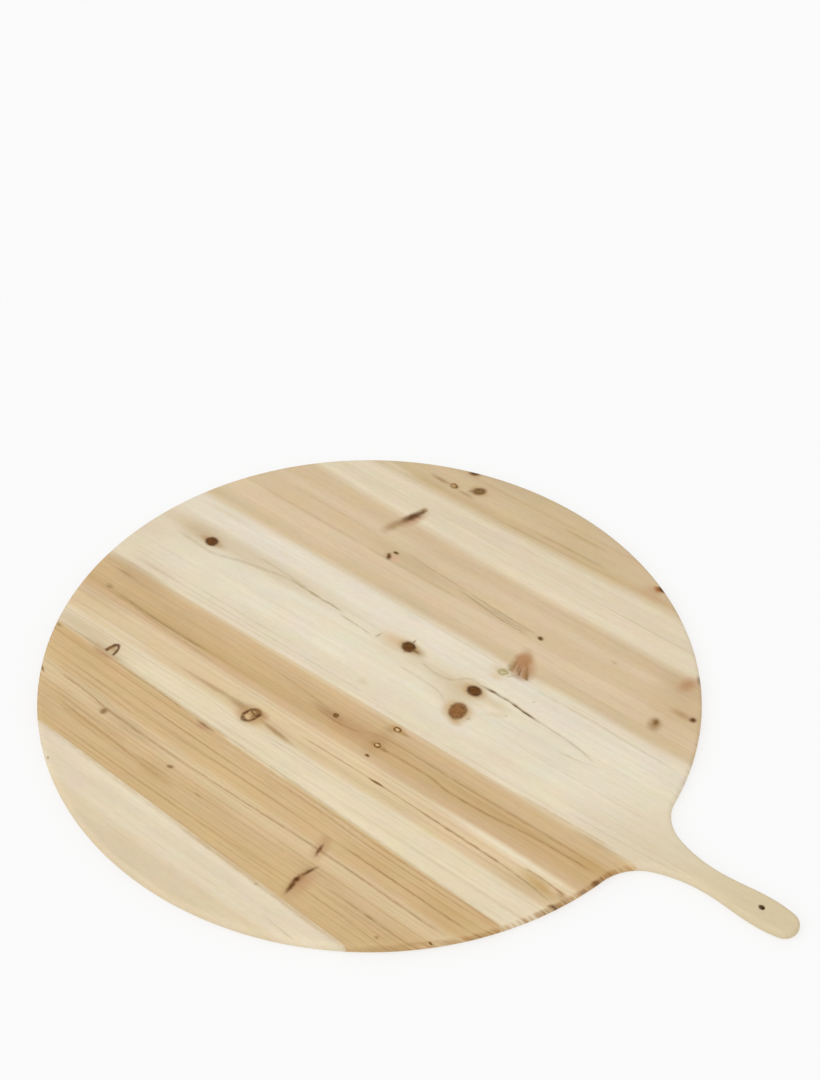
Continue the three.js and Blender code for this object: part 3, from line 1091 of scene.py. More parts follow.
# Cream sapwood from the disc's far side to the handle's tip: the palest stave, quiet but for its knots
HANDLE_FIR = FirFinish(
    name="fir_sapwood_cream_sanded",
    start="#e3d5ba",
    edges=(
        ToneEdge(-16, 8, "#e3d6bc"),
        ToneEdge(0, 10, "#e5dac2"),
        ToneEdge(52, 12, "#e5dac5"),
        ToneEdge(77.5, 11, "#d3bc98"),
    ),
    latewood="#c5ae84",
    ring_width=7,
    ring_strength=0.12,
    knots=(
        Knot((-192, 37.9), (10.6, 9.8), KnotKind.DEAD, halo=0.5, reach=2.4, bend=0.6, gap=0.25),
        Knot((3.2, 44), (11.4, 10), KnotKind.DEAD, turn=-12, halo=0.7, bend=0.6, gap=0.25),
        Knot((69.9, 38.6), (12, 9.8), KnotKind.DEAD, halo=0.7, bend=0.6, gap=0.25),
        Knot((72.5, 14.5), (17, 13.2), KnotKind.LIVE, turn=108, halo=0.85, reach=1.8, bend=0.6, gap=0.15),
        Knot((75.1, 67.9), (8, 7), KnotKind.OLIVE, turn=30, halo=0.6),
    ),
    stains_and_shade=(
        Streak((-206, -12.6), (80, 11), StainAndShadeTone.UMBER, 0.3),
        Streak((375, 0), (380, 320), StainAndShadeTone.HANDLE, 1.0, solid=0.1),
        Streak((-185.8, 42.6), (250, 30), StainAndShadeTone.TAN, 0.5),
        Streak((-246.1, 24.5), (150, 140), StainAndShadeTone.TAN, 0.3),
        Streak((-203.9, 39.6), (70, 34), StainAndShadeTone.UMBER, 0.4),
        Streak((-191.8, 38), (36, 9), StainAndShadeTone.BROWN, 0.6),
        Streak((-100.4, 41.6), (130, 20), StainAndShadeTone.TAN, 0.3),
        Streak((-9, 42.6), (44, 22), StainAndShadeTone.PEACH, 0.85),
        Streak((4, 43.6), (40, 18), StainAndShadeTone.OCHRE, 0.35),
        Streak((11, 43.6), (24, 13), StainAndShadeTone.BROWN, 0.65),
        Streak((20.1, 36.6), (140, 32), StainAndShadeTone.TAN, 0.35),
        Streak((56.2, 33.5), (70, 50), StainAndShadeTone.OCHRE, 0.28),
        Streak((66.3, 35.6), (46, 34), StainAndShadeTone.TAN, 0.6),
        Streak((69.8, 39), (36, 20), StainAndShadeTone.OCHRE, 0.4),
        Streak((67.3, 17.5), (38, 30), StainAndShadeTone.TAN, 0.45),
        Streak((73.3, 12.5), (30, 28), StainAndShadeTone.OCHRE, 0.55),
        Streak((77.3, 5), (18, 12), StainAndShadeTone.OCHRE, 0.55),
        Streak((90.4, 37.6), (40, 16), StainAndShadeTone.TAN, 0.45),
        Streak((97.4, 29.5), (30, 9), StainAndShadeTone.TAN, 0.3, turn=30),
        Streak((73.8, 60.7), (17, 10), StainAndShadeTone.PEACH, 0.6),
        Streak((86.4, 71.2), (28, 9), StainAndShadeTone.BROWN, 0.6),
        Streak((-2, -6.1), (14, 9), StainAndShadeTone.OCHRE, 0.2),
        Streak((71.3, 67.7), (24, 16), StainAndShadeTone.OCHRE, 0.3),
        Streak((-220, -21.6), (110, 8), StainAndShadeTone.UMBER, 0.55),
        Streak((-200, 70.6), (90, 8), StainAndShadeTone.TAN, 0.3),
        Streak((-125.5, 49.6), (240, 16), StainAndShadeTone.TAN, 0.3),
        Streak((236, 4.4), (110, 80), StainAndShadeTone.OCHRE, 0.07),
    ),
    streaks=(
        Streak((-22.5, 39.6), (11, 3), StainAndShadeTone.OLIVE, 0.6, turn=75),
        Streak((3.2, 51), (6, 3), StainAndShadeTone.BARK, 0.7, turn=90),
        Streak((4, 38), (5, 3), StainAndShadeTone.BROWN, 0.6, turn=90),
        Streak((10.5, 43.4), (10, 5), StainAndShadeTone.RESIN, 0.75),
        Streak((80.9, 46.6), (11, 3.6), StainAndShadeTone.BARK, 0.75, turn=6),
        Streak((75.3, 69.3), (3, 2.4), StainAndShadeTone.RESIN, 0.5),
        Streak((81.9, 67.2), (8, 3), StainAndShadeTone.OLIVE, 0.5, turn=60),
        Streak((83.4, 13.5), (5, 2.6), StainAndShadeTone.OLIVE, 0.5, turn=60),
        Streak((111.5, 57.3), (4, 2.2), StainAndShadeTone.OLIVE, 0.6, turn=60),
        Streak((103.5, 33), (5, 2), StainAndShadeTone.OLIVE, 0.4, turn=30),
        # Painted shade in the hanging hole: darkens its bore and the face round its mouth
        Streak((346, -0.2), (6, 5.4), StainAndShadeTone.BARK, 0.92, solid=0.45),
    ),
    lines=(
        GrainLine(((150.7, -22.4), (190, -22), (241, -21.6)), 3.6, StainAndShadeTone.OCHRE, 0.55),
        GrainLine(
            (
                (-230, 31.7),
                (-205.9, 29.5),
                (-186.8, 28.5),
                (-170.7, 31.5),
                (-156.7, 36.1),
                (-138.6, 39.4),
                (-115.5, 43.6),
                (-100.4, 43.4),
            ),
            5,
            StainAndShadeTone.OLIVE,
            0.35,
        ),
        GrainLine(((-118.5, 44.2), (-100.4, 43.4), (-85.4, 42.6), (-56.2, 42)), 3.6, StainAndShadeTone.OLIVE, 0.85),
        GrainLine(((-152.7, 47.8), (-135.6, 47.1), (-110.5, 46), (-90.4, 43.2)), 3.6, StainAndShadeTone.OLIVE, 0.3),
        GrainLine(((-62.3, 38.4), (-40.2, 37.3), (-26.1, 35.8)), 3.4, StainAndShadeTone.OLIVE, 0.5),
        GrainLine(((-80.4, 44.6), (-50.2, 45), (-24.1, 43.6)), 2.6, StainAndShadeTone.OLIVE, 0.25),
        GrainLine(
            (
                (15.1, 43),
                (24.1, 37),
                (37.2, 34.9),
                (48.2, 36.6),
                (55.2, 42.6),
                (63.3, 46.9),
                (73.3, 46.4),
                (82.4, 46.8),
            ),
            5,
            StainAndShadeTone.OLIVE,
            0.35,
        ),
        GrainLine(
            ((6, 23.7), (32.1, 23.5), (45.2, 22.3), (53.2, 19.5), (62.3, 14)),
            3.4,
            StainAndShadeTone.OLIVE,
            0.35,
        ),
        DRYING_CRACK.stain(),
        GrainLine(
            (
                (68.3, 45.1),
                (77.3, 46.8),
                (86.4, 46.4),
                (96.4, 46.4),
                (106.5, 45.4),
                (116.5, 44.2),
                (130.6, 43.1),
            ),
            4.2,
            StainAndShadeTone.RESIN,
            0.8,
        ),
        GrainLine(
            ((118.5, 43.8), (140.6, 42.5), (152.7, 41.6), (166.7, 39.6), (182.8, 35.1)),
            3.6,
            StainAndShadeTone.OLIVE,
            0.45,
        ),
        GrainLine(((150.7, 28.5), (168.7, 30), (186.8, 34.6)), 2.4, StainAndShadeTone.OLIVE, 0.3),
        GrainLine(((110.5, 16), (180.8, 14.5), (251.1, 15.5)), 2.2, StainAndShadeTone.OLIVE, 0.2),
        GrainLine(((96.4, 68.7), (150.7, 68.3), (239, 66.7)), 5, StainAndShadeTone.OLIVE, 0.3),
        GrainLine(((-243.1, -6.1), (-150.7, -8.6), (-60.3, -9.1)), 2.2, StainAndShadeTone.OLIVE, 0.3),
        GrainLine(((-239, -12.2), (-120.5, -14.2), (40.2, -14.7)), 2.2, StainAndShadeTone.OLIVE, 0.3),
        GrainLine(((-237, -17.5), (0, -18.3), (241.1, -17.2)), 2.4, StainAndShadeTone.OLIVE, 0.2),
        GrainLine(((170.7, -8.6), (241.1, -7.6), (301.3, -6.6)), 2.2, StainAndShadeTone.OLIVE, 0.2),
        GrainLine(((190.8, -13.7), (251.1, -12.7), (291.3, -9.6)), 2.2, StainAndShadeTone.OLIVE, 0.25),
    ),
    seed=4.1,
)

# Orange heartwood that pales towards its right edge, with pin knots, a loose ring knot and an arch
INNER_RIGHT_FIR = FirFinish(
    name="fir_heartwood_orange_sanded",
    start="#e5d6b6",
    edges=(
        ToneEdge(-89.5, 6, "#dcc49d"),
        ToneEdge(-79, 3, "#dfc8a1"),
        ToneEdge(-71.5, 3, "#e0c9a4"),
        ToneEdge(-64.5, 6, "#d0b28a", skew=0.006),
        ToneEdge(-58, 6, "#caab7c", skew=0.01),
        ToneEdge(-48, 9, "#cfb184", skew=0.02),
        ToneEdge(-37, 7, "#d1b489", skew=0.015),
        ToneEdge(-26, 6, "#dac4a0", skew=0.018),
    ),
    latewood="#9a6f3a",
    ring_width=5,
    ring_strength=0.26,
    slope=-0.02,
    knots=(
        Knot((49.2, -28.1), (6.2, 5), KnotKind.PIN, halo=0.75, reach=3, bend=0.4),
        Knot((4.3, -45.4), (4.8, 4), KnotKind.DOT, halo=0.85, reach=3, bend=0.4),
        Knot((46.7, -49.5), (5.4, 4.8), KnotKind.PIN, halo=0.85, reach=3, bend=0.4),
        Knot((47, -61.8), (3.6, 2.4), KnotKind.SPECK, halo=0.4),
        Knot((-45.2, -84.8), (16.4, 11), KnotKind.RINGED, turn=76, halo=0.75, reach=2, bend=0.6, gap=0.3),
    ),
    stains_and_shade=(
        Streak((-206, -33.6), (70, 11), StainAndShadeTone.UMBER, 0.4),
        Streak((-205, -96.5), (170, 26), StainAndShadeTone.UMBER, 0.4),
        Streak((-180, -81.5), (120, 9), StainAndShadeTone.CREAM, 0.4, turn=-1),
        Streak((-222, -66), (110, 22), StainAndShadeTone.UMBER, 0.35),
        Streak((-215, -26), (130, 16), StainAndShadeTone.UMBER, 0.5),
        Streak((226, -25), (60, 8), StainAndShadeTone.BROWN, 0.3),
        Streak((-178.8, -104.1), (70, 14), StainAndShadeTone.UMBER, 0.6),
        Streak((205.9, -87), (90, 26), StainAndShadeTone.UMBER, 0.35, turn=-3),
        Streak((217, -80.4), (56, 14), StainAndShadeTone.OCHRE, 0.85, turn=-8),
        Streak((233, -78.5), (16, 9), StainAndShadeTone.BROWN, 0.5, turn=-25),
        Streak((178.8, -69.5), (180, 11), StainAndShadeTone.CREAM, 0.85, turn=-1.5),
        Streak((150.7, -58.9), (250, 13), StainAndShadeTone.BLUSH, 0.45, turn=-0.8),
        Streak((-110.5, -55.3), (220, 7), StainAndShadeTone.OCHRE, 0.45, turn=-1),
        Streak((160.7, -45.8), (230, 10), StainAndShadeTone.OCHRE, 0.45, turn=0.6),
        Streak((233, -43.8), (60, 20), StainAndShadeTone.OCHRE, 0.6),
        Streak((26.1, -46.8), (110, 28), StainAndShadeTone.RUST, 0.5),
        Streak((0, -46.8), (50, 10), StainAndShadeTone.BROWN, 0.45, turn=-4),
        Streak((-221, -31.7), (30, 6), StainAndShadeTone.BROWN, 0.35),
        Streak((54.2, -28.5), (20, 5), StainAndShadeTone.BROWN, 0.6),
        Streak((45.2, -31.7), (16, 7), StainAndShadeTone.BROWN, 0.35),
        Streak((52.2, -50), (16, 5), StainAndShadeTone.BROWN, 0.75),
        Streak((44.2, -49.4), (8, 6), StainAndShadeTone.BROWN, 0.6),
        Streak((45.2, -44.8), (46, 24), StainAndShadeTone.BROWN, 0.22, turn=90),
        Streak((-57.3, -82.2), (34, 10), StainAndShadeTone.BROWN, 0.55),
        Streak((-85, -81), (80, 7), StainAndShadeTone.BROWN, 0.4),
        Streak((-20.5, -85.8), (54, 6.8), StainAndShadeTone.BROWN, 0.68, turn=-7.5),
        Streak((-37.2, -79.9), (14, 12), StainAndShadeTone.RUST, 0.6),
        Streak((-220.8, -50.6), (11, 7), StainAndShadeTone.RESIN, 0.45),
    ),
    streaks=(
        Streak((-43.4, -78.4), (12, 7), StainAndShadeTone.BROWN, 0.6, turn=10),
        Streak((-46.8, -81.4), (9, 3), StainAndShadeTone.BARK, 0.8, turn=-25),
        Streak((-42, -82.4), (15, 8), StainAndShadeTone.BROWN, 0.65, turn=70),
        Streak((-40.8, -81.8), (11, 6), StainAndShadeTone.BARK, 0.85, turn=60),
        Streak((-49.8, -84.2), (10, 4), StainAndShadeTone.BARK, 0.75, turn=82),
        Streak((-45.8, -87.4), (8, 6), StainAndShadeTone.PEACH, 0.7, turn=80),
        Streak((68.9, -78.1), (21, 3), StainAndShadeTone.RESIN, 0.95, turn=-1, solid=0.2),
        Streak((-171.6, -102.2), (23, 11), StainAndShadeTone.BARK, 0.92, turn=90, solid=0.74),
        Streak((-171.2, -103.6), (20, 6), StainAndShadeTone.TAN, 0.95, turn=90, solid=0.7),
        Streak((-172, -105.2), (34, 5.4), StainAndShadeTone.TAN, 0.9, turn=-3, solid=0.3),
        Streak((-174.6, -99.2), (9, 5.4), StainAndShadeTone.BROWN, 0.65, turn=70),
        Streak((-171.8, -99), (8, 7), StainAndShadeTone.BROWN, 0.4),
        Streak((243.2, -57.5), (40, 4.4), StainAndShadeTone.BROWN, 0.5, turn=76),
        Streak((243.6, -53), (15, 3.2), StainAndShadeTone.BARK, 0.55, turn=77),
        Streak((240.8, -66.2), (12, 3), StainAndShadeTone.BARK, 0.5, turn=74),
        Streak((235.6, -82), (24, 4), StainAndShadeTone.BROWN, 0.4, turn=71),
        Streak((232.6, -89.6), (9, 4.6), StainAndShadeTone.BARK, 0.85, turn=40),
        Streak((229.8, -96.6), (30, 3.8), StainAndShadeTone.BROWN, 0.3, turn=67),
    ),
    lines=(
        GrainLine(((108, -79.2), (150, -80.6), (192, -82.4)), 3.4, StainAndShadeTone.BROWN, 0.5),
        GrainLine(
            (
                (-10, -77.3),
                (64.3, -77.9),
                (148.7, -80.8),
                (172.8, -81.4),
                (199.9, -83.2),
                (224, -86.7),
                (236, -89.4),
            ),
            2.6,
            StainAndShadeTone.BROWN,
            0.6,
            fade=0.1,
        ),
        GrainLine(((196.9, -74.3), (212.9, -74.5), (227, -75.9), (237, -79.3)), 3, StainAndShadeTone.BROWN, 0.7),
        GrainLine(
            (
                (50.2, -49.8),
                (89.4, -49.2),
                (104.5, -51.1),
                (120.5, -52.6),
                (143.6, -52),
                (167.7, -50),
                (207.9, -47.8),
                (241.1, -47.8),
            ),
            3.6,
            StainAndShadeTone.BROWN,
            0.6,
            fade=0.08,
        ),
        GrainLine(
            (
                (20.1, -46.3),
                (36.2, -42.8),
                (44.2, -40.8),
                (64.3, -40.2),
                (110.5, -41),
                (160.7, -41.2),
                (245.1, -40.8),
            ),
            4,
            StainAndShadeTone.BROWN,
            0.5,
        ),
        GrainLine(((-16.1, -47.8), (8, -50.2), (20.1, -49.2), (34.1, -43.8)), 2.8, StainAndShadeTone.BROWN, 0.5),
        GrainLine(((-100.4, -36.8), (-60.3, -38.4), (-16.1, -41.8), (2, -45.4)), 3, StainAndShadeTone.BROWN, 0.3),
        GrainLine(
            ((-218, -51), (-208.9, -52.4), (-190.8, -53.4), (-160.7, -55.1), (-108.5, -55.6)),
            3.8,
            StainAndShadeTone.RESIN,
            0.5,
        ),
        GrainLine(
            ((-237, -53.2), (-200.9, -54.8), (-150.7, -58.5), (-90.4, -60.9)),
            2.6,
            StainAndShadeTone.BROWN,
            0.35,
        ),
        GrainLine(((0, -84.5), (40.2, -85.6), (120.5, -87.5)), 2.2, StainAndShadeTone.OLIVE, 0.3),
        GrainLine(((-225, -102.7), (0, -114.5), (225, -126.3)), 5, StainAndShadeTone.UMBER, 0.5, fade=0.02),
    ),
    thirst=0.34,
    seed=5.7,
)

# Golden heartwood of slow growth: close, straight brown lines over a warm ground, with two spike knots
MIDDLE_RIGHT_FIR = FirFinish(
    name="fir_heartwood_golden_sanded",
    start="#cfb182",
    edges=(
        ToneEdge(-180, 16, "#d1b487"),
        ToneEdge(-160, 10, "#dac198"),
        ToneEdge(-146, 8, "#d3b586"),
        ToneEdge(-126, 8, "#d2b384"),
        ToneEdge(-116.5, 4, "#d8c197", skew=-0.012),
    ),
    latewood="#8f6430",
    ring_width=4.2,
    ring_strength=0.4,
    late_share=0.4,
    slope=-0.036,
    bow=4e-5,
    lean=0.8,
    knots=(
        Knot((-133.3, -150.3), (5.8, 4.6), KnotKind.BUD, turn=80, halo=0.5, bend=0.4),
        Knot((-57.7, -159.7), (4.4, 2.6), KnotKind.BUD, turn=25, halo=0.4),
        Knot((155.2, -186), (3, 2.6), KnotKind.FAINT, halo=0.4),
        Knot((185.6, -167.5), (1.5, 1.9), KnotKind.DOT, halo=0.3),
    ),
    stains_and_shade=(
        Streak((-115, -147.4), (110, 10), StainAndShadeTone.BROWN, 0.26, turn=-2),
        Streak((-70, -167.3), (64, 4.4), StainAndShadeTone.BROWN, 0.35, turn=-1),
        # Painted shade on the near rim's round-over
        Streak((161, -192.6), (34, 8), StainAndShadeTone.BROWN, 0.3, turn=40),
        Streak((84.4, -182.4), (50, 24), StainAndShadeTone.RUST, 0.6, turn=92),
        Streak((76.3, -150.3), (32, 18), StainAndShadeTone.RUST, 0.6, turn=-77),
        Streak((73.3, -140.7), (16, 9), StainAndShadeTone.RUST, 0.4),
        Streak((81.4, -181.4), (40, 9), StainAndShadeTone.BROWN, 0.6, turn=89),
        Streak((180.8, -137.2), (110, 16), StainAndShadeTone.OCHRE, 0.4, turn=-2),
        Streak((185.8, -148.2), (90, 18), StainAndShadeTone.OCHRE, 0.35),
        Streak((112.5, -136.2), (90, 15), StainAndShadeTone.OCHRE, 0.35, turn=-2),
        Streak((175.8, -181.4), (110, 24), StainAndShadeTone.OCHRE, 0.25, turn=-3),
        Streak((-120.5, -167.3), (160, 10), StainAndShadeTone.OCHRE, 0.35, turn=-5),
        Streak((-62.3, -172.4), (44, 18), StainAndShadeTone.OCHRE, 0.35),
        Streak((-190.8, -111.1), (110, 12), StainAndShadeTone.OCHRE, 0.3, turn=-4),
        Streak((-173.8, -107.6), (30, 8), StainAndShadeTone.RUST, 0.6),
        Streak((-66.3, -116.1), (16, 7), StainAndShadeTone.RUST, 0.5),
        Streak((205.9, -125.1), (50, 18), StainAndShadeTone.RUST, 0.3),
        # Darker band on the near rim: painted rim shade, partly the darker end grain
        Streak((207.2, -141.6), (50, 5), StainAndShadeTone.BROWN, 0.35, turn=57),
        Streak((-223, -105.7), (14, 7), StainAndShadeTone.OLIVE, 0.6),
        Streak((-223, -105.7), (8, 4), StainAndShadeTone.BROWN, 0.45),
        Streak((137, -169.8), (100, 10), StainAndShadeTone.PEACH, 0.5, turn=-2),
        Streak((-30, -124.6), (60, 4.4), StainAndShadeTone.PEACH, 0.5, turn=-2),
        Streak((86, -127.3), (70, 5.4), StainAndShadeTone.PEACH, 0.75, turn=-3.5),
        Streak((152, -124.2), (80, 6), StainAndShadeTone.PEACH, 0.5, turn=-2),
        Streak((-100, -153), (90, 8), StainAndShadeTone.BROWN, 0.25, turn=-2),
        # Darker band on the near rim: painted rim shade, partly the darker end grain
        Streak((178.8, -173.4), (56, 5), StainAndShadeTone.BROWN, 0.3, turn=46),
        Streak((25, -165.6), (120, 11), StainAndShadeTone.PEACH, 0.5, turn=-2),
    ),
    streaks=(
        Streak((76.2, -151.8), (18.5, 4.6), StainAndShadeTone.BARK, 0.94, turn=-79),
        Streak((82.6, -171.2), (23.5, 4.8), StainAndShadeTone.BARK, 0.88, turn=70),
        Streak((80.4, -181.6), (8.6, 5.6), StainAndShadeTone.BARK, 1.0, turn=80, solid=0.1),
        Streak((81, -188.4), (22, 5.6), StainAndShadeTone.BARK, 0.93, turn=100, solid=0.05),
        Streak((-65.3, -113.7), (28, 3.8), StainAndShadeTone.BARK, 0.62, turn=-4),
        Streak((-200.4, -147.2), (12, 4.4), StainAndShadeTone.RESIN, 0.95, turn=-20),
        Streak((-24.1, -167.5), (12, 2.6), StainAndShadeTone.RESIN, 0.4),
        Streak((140.6, -175.8), (14, 2.6), StainAndShadeTone.RESIN, 0.4, turn=-2),
    ),
    lines=(
        GrainLine(
            (
                (-197, -105.3),
                (-180.8, -106.2),
                (-150.7, -107.8),
                (-120.5, -109.4),
                (-90.4, -111.9),
                (-76, -113),
            ),
            3.2,
            StainAndShadeTone.BROWN,
            0.55,
        ),
        GrainLine(
            (
                (8, -118.2),
                (30.1, -119.1),
                (60.3, -120.3),
                (90.4, -121.6),
                (120.5, -122.9),
                (150.7, -124.4),
                (184, -126.2),
            ),
            3,
            StainAndShadeTone.BROWN,
            0.4,
        ),
        GrainLine(((-52, -112.6), (-40, -113.4), (-15, -114.8), (20, -116.6)), 4.6, StainAndShadeTone.CREAM, 0.6),
        GrainLine(
            (
                (-70, -116.4),
                (-30, -118.8),
                (0, -119.7),
                (35, -121),
                (70, -122.6),
                (100, -123.9),
                (118, -124.6),
            ),
            4.4,
            StainAndShadeTone.PEACH,
            0.85,
        ),
        GrainLine(
            ((-226, -107.1), (-150.7, -111.9), (-80.4, -114.5), (0, -118.6), (50.2, -120.6)),
            2.8,
            StainAndShadeTone.BROWN,
            0.15,
        ),
        GrainLine(
            ((-215.9, -119.1), (-150.7, -122.6), (-80.4, -127.2), (0, -130.7)),
            2.6,
            StainAndShadeTone.BROWN,
            0.3,
        ),
        GrainLine(
            ((-205.9, -127.7), (-150.7, -131.2), (-66.3, -135.6), (5, -136.2), (60.3, -137.4)),
            2.8,
            StainAndShadeTone.BROWN,
            0.35,
        ),
        GrainLine(((-198.9, -132.7), (-150.7, -135.7), (-105.5, -139.6)), 2.6, StainAndShadeTone.BROWN, 0.3),
        GrainLine(((-196.9, -137.2), (-150.7, -140.2), (-125.5, -142.7)), 2.4, StainAndShadeTone.BROWN, 0.25),
        GrainLine(
            (
                (-196.9, -141.6),
                (-160.7, -143.4),
                (-121.5, -147.8),
                (-32.1, -151.1),
                (74.3, -151.9),
                (150.7, -154.8),
                (199.9, -156.3),
            ),
            3.2,
            StainAndShadeTone.BROWN,
            0.6,
            fade=0.06,
        ),
        GrainLine(((-178.8, -156.7), (-150.7, -159.3), (-93.4, -164.8)), 2.4, StainAndShadeTone.BROWN, 0.25),
        GrainLine(
            ((-176.8, -160.9), (-150.7, -163.7), (-105.5, -167.3), (-73.3, -170.9), (-36.2, -172.4)),
            3.2,
            StainAndShadeTone.BROWN,
            0.5,
        ),
        GrainLine(((-165.7, -165.7), (-150.7, -167.3), (-112.5, -171.7)), 2.4, StainAndShadeTone.BROWN, 0.3),
        GrainLine(
            ((-53.2, -167.5), (-18.1, -167.5), (30.1, -167.7), (67.3, -171.3)),
            2.6,
            StainAndShadeTone.BROWN,
            0.3,
        ),
        GrainLine(((-155.7, -179), (-66.3, -183.8), (0, -185.4), (75.3, -185)), 2.6, StainAndShadeTone.BROWN, 0.35),
        GrainLine(((85.4, -185.4), (135.6, -187.8), (172.8, -190.8)), 2.6, StainAndShadeTone.BROWN, 0.4),
        GrainLine(
            ((-165.7, -185.4), (-100.4, -189.7), (-20.1, -194.4), (60.3, -198.5)),
            2.6,
            StainAndShadeTone.BROWN,
            0.15,
        ),
        GrainLine(
            ((-10, -121.7), (45.2, -123.5), (105.5, -127.4), (165.7, -128.8), (214.9, -129.9)),
            3,
            StainAndShadeTone.BROWN,
            0.45,
        ),
        GrainLine(
            ((80.4, -138.2), (129.6, -140.4), (187.8, -142.7), (208.9, -143.4)),
            3,
            StainAndShadeTone.BROWN,
            0.6,
        ),
        GrainLine(((96.4, -174), (142.6, -176), (187.8, -178)), 2.8, StainAndShadeTone.BROWN, 0.45),
        GrainLine(((90.4, -179.8), (130.6, -181.9), (170.7, -185.4)), 2.2, StainAndShadeTone.BROWN, 0.35),
    ),
    thirst=0.3,
    seed=7.2,
)

# Cream sapwood at the near edge, turning tan at the rim
OUTER_RIGHT_FIR = FirFinish(
    name="fir_sapwood_cream_tan_edge_sanded",
    start="#dccaaa",
    edges=(
        ToneEdge(-226.5, 6, "#e1d2b6"),
        ToneEdge(-205, 8, "#e5d7bd", skew=-0.015),
    ),
    latewood="#bb9f6f",
    ring_width=6,
    ring_strength=0.12,
    slope=-0.045,
    bow=2e-4,
    knots=(
        Knot((60.9, -202.3), (2.6, 2), KnotKind.FAINT, halo=0.2),
        Knot((-134.6, -209), (2.6, 1.9), KnotKind.FAINT, turn=-40, halo=0.2),
    ),
    lines=(
        GrainLine(
            ((-24, -196.6), (0, -198), (30.1, -199.7), (60.3, -201.7), (100.4, -204.2), (134, -206.4)),
            4.4,
            StainAndShadeTone.OCHRE,
            0.65,
        ),
        GrainLine(((80.4, -220.1), (98.4, -221.6), (114.5, -223.1)), 2.4, StainAndShadeTone.OLIVE, 0.3),
        GrainLine(((-170, -185.8), (0, -196.2), (150, -205.4)), 12, StainAndShadeTone.TAN, 0.75, fade=0.02),
    ),
    seed=8.6,
)


@dataclass(frozen=True)
class RimPoint:
    """A point of the board's outline with the direction that faces out of the wood there."""

    place: Vector
    out: Vector


